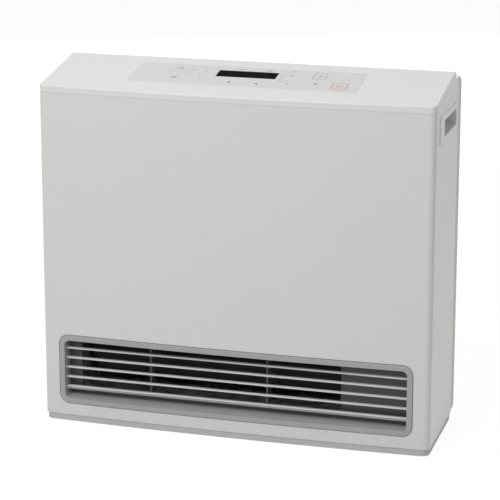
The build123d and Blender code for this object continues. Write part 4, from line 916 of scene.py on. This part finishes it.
class Print:
    """Thin raised prints on the slope, gathered into one mesh, in millimetres off the carrying face."""

    low = -0.02
    high = 0.05
    dome_steps = 20
    dome_levels = 5

    def __init__(self, slope: Slope, base: float) -> None:
        """Start an empty print.

        Args:
            slope: the surface that carries it.
            base: height of the carrying face above the slope, in millimetres.
        """
        self.slope = slope
        self.base = base
        self.mesh = bmesh.new()

    def _layer(self, outline: Outline, off: float) -> list[bmesh.types.BMVert]:
        """Add one outline at one height and give its vertices."""
        return [self.mesh.verts.new(self.slope.at(x, y, self.base + off)) for x, y in outline]

    def fill(self, outline: Outline) -> None:
        """Add a filled shape.

        Args:
            outline: the shape's points, anticlockwise.
        """
        low, high = self._layer(outline, self.low), self._layer(outline, self.high)
        self.mesh.faces.new(high)
        self.mesh.faces.new(low[::-1])
        count = len(outline)
        for i in range(count):
            j = (i + 1) % count
            self.mesh.faces.new((low[i], low[j], high[j], high[i]))

    def line(self, points: Outline, width: float, closed: bool = False) -> None:
        """Add a drawn line.

        Args:
            points: the line's middle points.
            width: its width.
            closed: True when the end joins the start.
        """
        left, right = Plot.stroke(points, width, closed)
        rows = [self._layer(side, off) for off in (self.low, self.high) for side in (left, right)]
        low_left, low_right, high_left, high_right = rows
        count = len(points)
        for i in range(count if closed else count - 1):
            j = (i + 1) % count
            self.mesh.faces.new((high_left[i], high_right[i], high_right[j], high_left[j]))
            self.mesh.faces.new((low_left[i], low_left[j], low_right[j], low_right[i]))
            self.mesh.faces.new((low_left[i], high_left[i], high_left[j], low_left[j]))
            self.mesh.faces.new((low_right[i], low_right[j], high_right[j], high_right[i]))
        if not closed:
            for i in (0, count - 1):
                self.mesh.faces.new((low_left[i], low_right[i], high_right[i], high_left[i]))

    def dome(self, middle: Point2, across: float, up: float, rise: float) -> None:
        """Add a low round dome.

        Args:
            middle: its place on the slope.
            across: its width.
            up: its length up the slope.
            rise: its height.
        """
        rings = []
        steps = self.dome_steps
        turns = [2 * math.pi * i / steps for i in range(steps)]
        for level in range(self.dome_levels):
            bend = math.pi / 2 * level / self.dome_levels
            half_across, half_up = across / 2 * math.cos(bend), up / 2 * math.cos(bend)
            ring = [(middle[0] + half_across * math.cos(t), middle[1] + half_up * math.sin(t)) for t in turns]
            rings.append(self._layer(ring, self.low + rise * math.sin(bend)))
        crown = self.mesh.verts.new(self.slope.at(*middle, self.base + self.low + rise))
        self.mesh.faces.new(rings[0][::-1])
        for lower, upper in zip(rings, rings[1:]):
            for i in range(steps):
                j = (i + 1) % steps
                self.mesh.faces.new((lower[i], lower[j], upper[j], upper[i]))
        for i in range(steps):
            self.mesh.faces.new((rings[-1][i], rings[-1][(i + 1) % steps], crown))

    def finish(self, name: str) -> bpy.types.Object:
        """Turn the print into an object.

        Args:
            name: the piece's name.

        Returns:
            The new object, linked to the scene.
        """
        bmesh.ops.recalc_face_normals(self.mesh, faces=self.mesh.faces[:])
        data = bpy.data.meshes.new(name)
        self.mesh.to_mesh(data)
        self.mesh.free()
        return linked(name, data)


class RowTree:
    """Geometry Nodes that repeat one bar along a row, with its sizes as named inputs."""

    inputs = (("Count", "NodeSocketInt"), ("Start", "NodeSocketVector"), ("Step", "NodeSocketVector"),
              ("Size", "NodeSocketVector"), ("Finish", "NodeSocketMaterial"))

    def __init__(self) -> None:
        """Build the tree once."""
        self.tree = bpy.data.node_groups.new("bar_row", "GeometryNodeTree")
        self.ports: dict[str, str] = {}
        face = self.tree.interface
        for name, kind in self.inputs:
            self.ports[name] = face.new_socket(name, in_out="INPUT", socket_type=kind).identifier
        face.new_socket("Geometry", in_out="OUTPUT", socket_type="NodeSocketGeometry")
        nodes = self.tree.nodes
        entry = nodes.new("NodeGroupInput")
        leave = nodes.new("NodeGroupOutput")
        row = nodes.new("GeometryNodeMeshLine")
        row.mode = "OFFSET"
        bar = nodes.new("GeometryNodeMeshCube")
        copies = nodes.new("GeometryNodeInstanceOnPoints")
        real = nodes.new("GeometryNodeRealizeInstances")
        paint = nodes.new("GeometryNodeSetMaterial")
        for source, outlet, target, inlet in (
            (entry, "Count", row, "Count"),
            (entry, "Start", row, "Start Location"),
            (entry, "Step", row, "Offset"),
            (entry, "Size", bar, "Size"),
            (row, "Mesh", copies, "Points"),
            (bar, "Mesh", copies, "Instance"),
            (copies, "Instances", real, "Geometry"),
            (real, "Geometry", paint, "Geometry"),
            (entry, "Finish", paint, "Material"),
            (paint, "Geometry", leave, "Geometry"),
        ):
            self.tree.links.new(source.outputs[outlet], target.inputs[inlet])

    def make(self, name: str, rows: list[dict[str, Any]]) -> bpy.types.Object:
        """Make one plain mesh from several rows of bars.

        Args:
            name: the piece's name.
            rows: the named inputs of each row.

        Returns:
            The new object, its place in its mesh.
        """
        whole = bmesh.new()
        for row in rows:
            data = bpy.data.meshes.new(name + "_seed")
            seed = linked(name + "_seed", data)
            modifier = seed.modifiers.new("bars", "NODES")
            modifier.node_group = self.tree
            for key, value in row.items():
                modifier[self.ports[key]] = value
            bpy.context.view_layer.update()
            shape = seed.evaluated_get(bpy.context.evaluated_depsgraph_get())
            result = bpy.data.meshes.new_from_object(shape)
            seed.modifiers.clear()
            whole.from_mesh(result)
            bpy.data.objects.remove(seed)
            bpy.data.meshes.remove(result)
            bpy.data.meshes.remove(data)
        mesh = bpy.data.meshes.new(name)
        whole.to_mesh(mesh)
        whole.free()
        mesh.materials.append(rows[0]["Finish"])
        return linked(name, mesh)


# Sub-assemblies


@dataclass
class Cabinet:
    """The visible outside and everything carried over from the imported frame."""

    finishes: dict[Look, tuple[str, ...]] = field(default_factory=lambda: {
        Look.PAINT: ("front_casing",),
        Look.COVER: ("top_cover", "grip_left", "grip_right"),
        Look.REAR: ("rear_cover",),
        Look.FILM: ("panel_sheet",),
        Look.WINDOW: ("display_window",),
        Look.KEYS: ("key_run_stop", "key_eco", "key_lock", "key_temp_down", "key_temp_up",
                    "key_timer_on", "key_timer_off"),
        Look.BEZEL: ("outlet_bezel",),
        Look.BASE: ("base_plinth",),
        Look.SLAT: ("louvre_slat_1", "louvre_slat_2", "louvre_slat_3", "louvre_slat_4",
                    "louvre_slat_5"),
        Look.RIB: ("louvre_rib_left", "louvre_rib_right"),
        Look.FAN: ("fan_rotor",),
        Look.HOUSING: ("igniter", "tip_over_switch"),
        Look.FRAME: ("filter_frame",),
        Look.NET: ("filter_mesh",),
        Look.DUCT: ("duct_mouth",),
        Look.CHAMBER: ("combustion_chamber", "burner"),
        Look.ZINC: ("fan_scroll", "fan_side_left", "fan_side_right", "fan_tongue", "floor_pan",
                    "inner_bracket", "motor_bracket"),
        Look.STEEL: ("fan_stub", "motor_shaft", "gas_pipe", "motor_screws", "rear_screws",
                     "base_screws", "overheat_limiter"),
        Look.MOTOR: ("fan_motor",),
        Look.CAST: ("feed_pipe", "gas_valve"),
        Look.BRASS: ("gas_plug", "fan_bush"),
        Look.RUBBER: ("base_feet", "bush_mount", "cord_gland"),
        Look.MAIN_BOARD: ("control_board",),
        Look.KEY_BOARD: ("display_board",),
        Look.CERAMIC: ("spark_electrode", "flame_rod"),
        Look.SENSOR: ("room_thermistor",),
    })

    def dress(self, materials: Materials) -> None:
        """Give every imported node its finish.

        Args:
            materials: the shared finishes.
        """
        left = set(frame["nodes"])
        for look, nodes in self.finishes.items():
            for node in nodes:
                materials.dress(bpy.data.objects[node], look)
                left.discard(node)
            LOG.info("%s: %s", look.value.name, ", ".join(nodes))
        if left:
            raise ValueError(f"nodes without a finish: {sorted(left)}")


class Ride(Enum):
    """The bodies that a panel print can ride on."""

    HEATER = "heater"
    RUN_STOP = "key_run_stop"
    ECO = "key_eco"
    LOCK = "key_lock"
    TEMP_DOWN = "key_temp_down"
    TEMP_UP = "key_temp_up"
    TIMER_ON = "key_timer_on"
    TIMER_OFF = "key_timer_off"


class Mark(Enum):
    """The signs that the panel can carry."""

    POWER = "power"
    LEAF = "leaf"
    LOCK = "lock"
    DOWN = "down"
    UP = "up"
    CLOCK = "clock"
    CLOCK_OFF = "clock_off"
    THERMOMETER = "thermometer"


@dataclass(frozen=True)
class Sign:
    """One sign: what it shows, its middle, its size, and the width, length and line of its frame."""

    mark: Mark
    at: Point2
    size: float
    frame: tuple[float, float, float] | None = None


@dataclass(frozen=True)
class FilmPrint:
    """What one ink prints on the film: signs, level rules and a drawn bracket.

    A rule has its middle across and up the slope, its length and the weight of its line.
    """

    look: Look
    signs: tuple[Sign, ...]
    rules: tuple[tuple[float, float, float, float], ...]
    bracket: tuple[Point2, ...] = ()


@dataclass
class PanelPrints:
    """Signs printed on the keys and the film, and the small lamp lenses, in millimetres on the slope."""

    slope: Slope = field(default_factory=Slope)
    film: str = "panel_sheet"
    line: float = 0.55
    frame_corner: float = 1.6
    lens_rise: float = 0.3
    key_signs: dict[Ride, tuple[Look, Sign]] = field(default_factory=lambda: {
        Ride.RUN_STOP: (Look.RED_INK, Sign(Mark.POWER, (106.3, 45.9), 3.2, (15.6, 17.6, 0.7))),
        Ride.ECO: (Look.SOFT_INK, Sign(Mark.LEAF, (78.7, 72.9), 2.6, (13.8, 16.8, 0.6))),
        Ride.LOCK: (Look.SOFT_INK, Sign(Mark.LOCK, (79.0, 49.0), 2.4)),
        Ride.TEMP_DOWN: (Look.DARK_INK, Sign(Mark.DOWN, (-15.2, 40.4), 2.6)),
        Ride.TEMP_UP: (Look.DARK_INK, Sign(Mark.UP, (15.4, 40.4), 2.6)),
        Ride.TIMER_ON: (Look.DARK_INK, Sign(Mark.CLOCK, (-80.3, 76.4), 2.8)),
        Ride.TIMER_OFF: (Look.DARK_INK, Sign(Mark.CLOCK_OFF, (-79.8, 47.4), 2.8)),
    })
    film_prints: dict[str, FilmPrint] = field(default_factory=lambda: {
        "film_signs_dark": FilmPrint(
            look=Look.DARK_INK,
            signs=(
                Sign(Mark.THERMOMETER, (-12.0, 81.2), 2.0),
                Sign(Mark.CLOCK, (19.5, 81.2), 2.0),
                Sign(Mark.LEAF, (48.0, 84.5), 1.4),
            ),
            rules=tuple((x, 81.2, 3.2, 1.0) for x in (-16.6, -7.4, 14.9, 24.1)),
        ),
        "film_signs_soft": FilmPrint(
            look=Look.SOFT_INK,
            signs=(Sign(Mark.LOCK, (48.0, 71.5), 1.5), Sign(Mark.THERMOMETER, (48.0, 46.0), 1.8)),
            rules=(
                (-64.0, 81.0, 3.0, 1.0), (-64.0, 71.0, 6.0, 1.0), (-64.0, 61.5, 4.5, 1.0),
                (-80.0, 66.5, 28.0, 0.6),
            ),
            bracket=((43.0, 71.2), (39.4, 71.2), (37.5, 69.0), (37.5, 53.2), (39.4, 51.0), (43.0, 51.0)),
        ),
    })
    lamps: tuple[tuple[float, float, float, float], ...] = (
        (-80.8, 85.9, 1.6, 1.6), (-79.0, 57.0, 1.6, 1.6), (105.8, 59.2, 2.0, 1.4),
        (79.0, 58.5, 1.6, 1.6), (-54.5, 81.0, 4.2, 1.2), (-50.0, 71.0, 4.2, 1.2),
        (-55.0, 61.5, 4.2, 1.2), (-48.3, 43.0, 4.2, 1.2),
    )

    def power(self, sheet: Print, at: Point2, size: float) -> None:
        """Draw the power sign: an open ring with a bar in the gap."""
        sheet.line(Plot.arc(at, size, 122.0, 418.0), self.line * 1.3)
        sheet.line([(at[0], at[1] + size * 0.25), (at[0], at[1] + size * 1.2)], self.line * 1.3)

    def leaf(self, sheet: Print, at: Point2, size: float) -> None:
        """Draw a leaf: two arcs that meet in points, with a stalk.

        Args:
            sheet: the print that takes it.
            at: its middle.
            size: half its length across.
        """
        steps = self.steps()
        upper = [(at[0] + size * t, at[1] + size * (0.75 * t + 0.55 * (1 - t * t))) for t in steps]
        lower = [(at[0] + size * t, at[1] + size * (0.75 * t - 0.45 * (1 - t * t))) for t in steps]
        sheet.fill(lower + upper[::-1][1:-1])
        stalk = (at[0] - size * 1.5, at[1] - size * 1.25)
        sheet.line([stalk, (at[0] - size, at[1] - size * 0.75)], self.line)

    def lock(self, sheet: Print, at: Point2, size: float) -> None:
        """Draw a padlock: a plate with a hoop.

        Args:
            sheet: the print that takes it.
            at: its middle.
            size: half its height.
        """
        sheet.fill(Plot.rounded((at[0], at[1] - size * 0.4), size * 1.6, size * 1.2, size * 0.15))
        hoop = Plot.arc((at[0], at[1] + size * 0.35), size * 0.5, 0.0, 180.0, 12)
        foot = at[1] + size * 0.15
        sheet.line([(hoop[0][0], foot), *hoop, (hoop[-1][0], foot)], self.line)

    def arrow_up(self, sheet: Print, at: Point2, size: float) -> None:
        """Draw a triangle that points up the slope."""
        base = at[1] - size * 0.6
        sheet.fill([(at[0] - size, base), (at[0] + size, base), (at[0], at[1] + size * 0.9)])

    def arrow_down(self, sheet: Print, at: Point2, size: float) -> None:
        """Draw a triangle that points down the slope."""
        base = at[1] + size * 0.6
        sheet.fill([(at[0], at[1] - size * 0.9), (at[0] + size, base), (at[0] - size, base)])

    def clock(self, sheet: Print, at: Point2, size: float) -> None:
        """Draw a clock face with two hands."""
        sheet.line(Plot.arc(at, size, 0.0, 345.0, 23), self.line, closed=True)
        sheet.line([(at[0], at[1] + size * 0.65), at, (at[0] + size * 0.5, at[1])], self.line)

    def clock_off(self, sheet: Print, at: Point2, size: float) -> None:
        """Draw a clock face with a slanting stroke through it.

        Args:
            sheet: the print that takes it.
            at: its middle.
            size: radius of the face.
        """
        self.clock(sheet, at, size)
        reach = size / 0.7
        sheet.line([(at[0] - reach, at[1] - reach), (at[0] + reach, at[1] + reach)], self.line)

    def thermometer(self, sheet: Print, at: Point2, size: float) -> None:
        """Draw a thermometer: a bulb and a stem with three marks.

        Args:
            sheet: the print that takes it.
            at: its middle.
            size: half its height.
        """
        sheet.fill(Plot.arc((at[0], at[1] - size * 0.7), size * 0.45, 0.0, 345.0, 15))
        sheet.line([(at[0], at[1] - size * 0.45), (at[0], at[1] + size)], self.line * 1.4)
        for rise in (0.2, 0.55, 0.9):
            level = at[1] + size * rise
            sheet.line([(at[0] + size * 0.35, level), (at[0] + size * 0.8, level)], self.line * 0.8)

    def draw(self, sheet: Print, sign: Sign) -> None:
        """Draw a sign and the frame round it.

        Args:
            sheet: the print that takes it.
            sign: what to draw.
        """
        pens: dict[Mark, Callable[[Print, Point2, float], None]] = {
            Mark.POWER: self.power,
            Mark.LEAF: self.leaf,
            Mark.LOCK: self.lock,
            Mark.DOWN: self.arrow_down,
            Mark.UP: self.arrow_up,
            Mark.CLOCK: self.clock,
            Mark.CLOCK_OFF: self.clock_off,
            Mark.THERMOMETER: self.thermometer,
        }
        pens[sign.mark](sheet, sign.at, sign.size)
        if sign.frame:
            width, length, line = sign.frame
            sheet.line(Plot.rounded(sign.at, width, length, self.frame_corner), line, closed=True)

    @staticmethod
    def steps(count: int = 8) -> list[float]:
        """Give even steps from -1 to 1."""
        return [-1.0 + 2.0 * i / count for i in range(count + 1)]

    def sheet(self, carrier: str) -> Print:
        """Start a print on a node's top face."""
        return Print(self.slope, self.slope.top_of(carrier))

    def keep(self, sheet: Print, name: str, ride: Ride, look: Look, materials: Materials) -> None:
        """Finish a print, dress it and let it ride.

        Args:
            sheet: the print.
            name: the piece's name.
            ride: the body that carries it.
            look: its finish.
            materials: the shared finishes.
        """
        thing = sheet.finish(name)
        materials.dress(thing, look)
        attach(thing, ride.value)
        LOG.info("print %s rides on %s", name, ride.value)

    def build(self, materials: Materials) -> None:
        """Make every print and lamp.

        Args:
            materials: the shared finishes.
        """
        for ride, (look, sign) in self.key_signs.items():
            sheet = self.sheet(ride.value)
            self.draw(sheet, sign)
            self.keep(sheet, "sign_" + ride.value.removeprefix("key_"), ride, look, materials)
        self.print_film(materials)
        self.lenses(materials)

    def print_film(self, materials: Materials) -> None:
        """Print the film's own signs: window labels, the bracket and the range marks.

        Args:
            materials: the shared finishes.
        """
        for name, film in self.film_prints.items():
            sheet = self.sheet(self.film)
            for sign in film.signs:
                self.draw(sheet, sign)
            for x, up, length, weight in film.rules:
                sheet.line([(x - length / 2, up), (x + length / 2, up)], self.line * weight)
            if film.bracket:
                sheet.line(list(film.bracket), self.line)
            self.keep(sheet, name, Ride.HEATER, film.look, materials)

    def lenses(self, materials: Materials) -> None:
        """Set the lamp lenses into the film.

        Args:
            materials: the shared finishes.
        """
        row = self.sheet(self.film)
        for x, up, across, length in self.lamps:
            row.dome((x, up), across, length, self.lens_rise)
        self.keep(row, "lamp_lenses", Ride.HEATER, Look.LENS, materials)


@dataclass
class FilterNet:
    """The fine net in the filter frame, made of crossing threads with coarse ribs, in millimetres.

    The coarse ribs are given as the number of the axis they step along and their number of gaps.
    """

    pitch: float = 2.2
    thread: float = 0.32
    thread_depth: float = 0.5
    rib: float = 1.2
    ribs: tuple[tuple[int, int], ...] = ((0, 12), (2, 10))
    margin: float = 0.2

    def build(self, rows: RowTree, materials: Materials) -> None:
        """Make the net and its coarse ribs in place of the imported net.

        Args:
            rows: the tree that repeats bars.
            materials: the shared finishes.
        """
        low, high = (Vector(corner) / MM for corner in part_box("filter_mesh"))
        size = high - low
        bars: list[dict[str, Any]] = []
        for axis, gaps in self.ribs:
            threads = round((size[axis] - 2 * self.margin) / self.pitch)
            bars.append(self.threads(low, high, axis, threads, self.thread, size.y * self.thread_depth))
            bars.append(self.threads(low, high, axis, gaps, self.rib, size.y - 2 * self.margin))
        for bar in bars:
            bar["Finish"] = materials.get(Look.NET)
        net = rows.make("filter_net", bars)
        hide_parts("filter_mesh")
        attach(net, "filter")
        LOG.info("filter_net: %d rows of bars", len(bars))

    @staticmethod
    def threads(low: Vector, high: Vector, axis: int, gaps: int, width: float,
                depth: float) -> dict[str, Any]:
        """Give one row of parallel threads.

        Args:
            low: lowest corner of the net.
            high: highest corner of the net.
            axis: number of the axis that the row steps along, 0 or 2.
            gaps: number of gaps between threads.
            width: width of a thread.
            depth: depth of a thread through the net.

        Returns:
            The named inputs of the row, apart from its finish.
        """
        other = 2 - axis
        size = high - low
        start = (low + high) / 2
        start[axis] = low[axis] + width / 2
        step = Vector((0.0, 0.0, 0.0))
        step[axis] = (size[axis] - width) / gaps
        bar = Vector((0.0, depth, 0.0))
        bar[axis] = width
        bar[other] = size[other]
        return {
            "Count": gaps + 1,
            "Start": tuple(start * MM),
            "Step": tuple(step * MM),
            "Size": tuple(bar * MM),
        }


# Stage


@dataclass(frozen=True)
class Lamp:
    """One soft area lamp, in metres and watts."""

    name: str
    place: Point3
    target: Point3
    size: Point2
    power: float

    def hang(self) -> None:
        """Hang the lamp and turn it to its target."""
        data = bpy.data.lights.new(self.name, "AREA")
        data.shape = "RECTANGLE"
        data.size, data.size_y = self.size
        data.energy = self.power
        lamp = linked(self.name, data)
        lamp.location = self.place
        away = Vector(self.place) - Vector(self.target)
        lamp.rotation_euler = away.to_track_quat("Z", "Y").to_euler()


@dataclass(frozen=True)
class Viewpoint:
    """Place, turn and lens of the camera, fitted to the casing's corners in the photograph."""

    place: Point3 = (0.6153847, -2.1761054, 0.8257741)
    right: Point3 = (0.95703583, 0.28995068, -0.00332032)
    up: Point3 = (-0.06672893, 0.23136553, 0.97057573)
    lens: float = 151.855
    sensor: float = 36.0
    shift: Point2 = (0.08, -0.12)
    clip: Point2 = (0.05, 60.0)

    def stand(self) -> None:
        """Stand the camera where the photograph was taken from."""
        data = bpy.data.cameras.new("camera")
        data.sensor_fit = "HORIZONTAL"
        data.sensor_width = self.sensor
        data.lens = self.lens
        data.shift_x, data.shift_y = self.shift
        data.clip_start, data.clip_end = self.clip
        right, up = Vector(self.right), Vector(self.up)
        turn = Matrix((right, up, right.cross(up))).transposed().to_4x4()
        turn.translation = Vector(self.place)
        thing = linked("camera", data)
        thing.matrix_world = turn
        bpy.context.scene.camera = thing


@dataclass
class Studio:
    """Plain pale floor, white surroundings, soft lamps and the camera."""

    world_level: float = 0.36
    white: Rgb = (1.0, 1.0, 1.0)
    floor_size: float = 14.0
    floor_colour: Rgb = (0.80, 0.80, 0.80)
    floor_glow: float = 1.2
    floor_share: float = 0.74
    viewpoint: Viewpoint = Viewpoint()
    lamps: tuple[Lamp, ...] = (
        Lamp("lamp_front", (-0.35, -1.3, 1.5), (0.0, -0.05, 0.38), (1.0, 1.0), 13.6),
        Lamp("lamp_top", (-0.2, 0.1, 2.4), (0.0, 0.0, 0.3), (1.8, 1.8), 8.0),
        Lamp("lamp_back", (-0.9, 2.3, 0.5), (0.0, 0.07, 0.25), (1.4, 0.8), 9.0),
        Lamp("lamp_brow", (-0.6, -0.62, 1.9), (0.0, -0.07, 0.38), (1.6, 0.10), 1.0),
    )

    @staticmethod
    def white_for_camera(shader: Shader) -> Value:
        """Give 1 for camera, glossy and transmission rays.

        Args:
            shader: the floor's or the world's shader.

        Returns:
            The mask as a Value.
        """
        path = shader.node("ShaderNodeLightPath")
        camera = Value(shader, path.outputs["Is Camera Ray"])
        glossy = Value(shader, path.outputs["Is Glossy Ray"])
        passing = Value(shader, path.outputs["Is Transmission Ray"])
        return (camera + glossy + passing).lowest(1.0)

    def surroundings(self) -> None:
        """Make the world: white to look at, plain grey as light."""
        world = bpy.data.worlds.new("white_surroundings")
        bpy.context.scene.world = world
        shader = Shader(world)
        strength = self.white_for_camera(shader) * (1.0 - self.world_level) + self.world_level
        glow = shader.node("ShaderNodeBackground", None, {"Color": self.white, "Strength": strength})
        shader.node("ShaderNodeOutputWorld", None, {"Surface": glow.outputs[0]})

    def floor(self) -> None:
        """Lay a plain pale floor that keeps the heater's shadow."""
        half = self.floor_size / 2
        data = bpy.data.meshes.new("floor")
        corners = [(-half, -half, 0.0), (half, -half, 0.0), (half, half, 0.0), (-half, half, 0.0)]
        data.from_pydata(corners, [], [(0, 1, 2, 3)])
        thing = linked("floor", data)
        shader = Shader.for_material("pale_floor")
        matt = shader.node("ShaderNodeBsdfDiffuse", None, {"Color": self.floor_colour})
        glow = shader.node("ShaderNodeEmission", None, {"Color": self.white, "Strength": self.floor_glow})
        share = self.white_for_camera(shader) * self.floor_share
        blend = shader.node("ShaderNodeMixShader", None, {0: share, 1: matt.outputs[0], 2: glow.outputs[0]})
        data.materials.append(shader.close(blend.outputs[0]))

    def build(self) -> None:
        """Set up the whole stage."""
        bpy.context.scene.view_settings.view_transform = "Standard"
        self.surroundings()
        self.floor()
        for lamp in self.lamps:
            lamp.hang()
        self.viewpoint.stand()
        LOG.info("stage: floor, %d lamps, camera", len(self.lamps))


def main() -> None:
    """Build the heater's sub-assemblies in order."""
    logging.basicConfig(level=logging.INFO, format="%(name)s: %(message)s")
    materials = Materials()
    rows = RowTree()
    Cabinet().dress(materials)
    PanelPrints().build(materials)
    FilterNet().build(rows, materials)
    Studio().build()


if __name__ == "__main__":
    main()
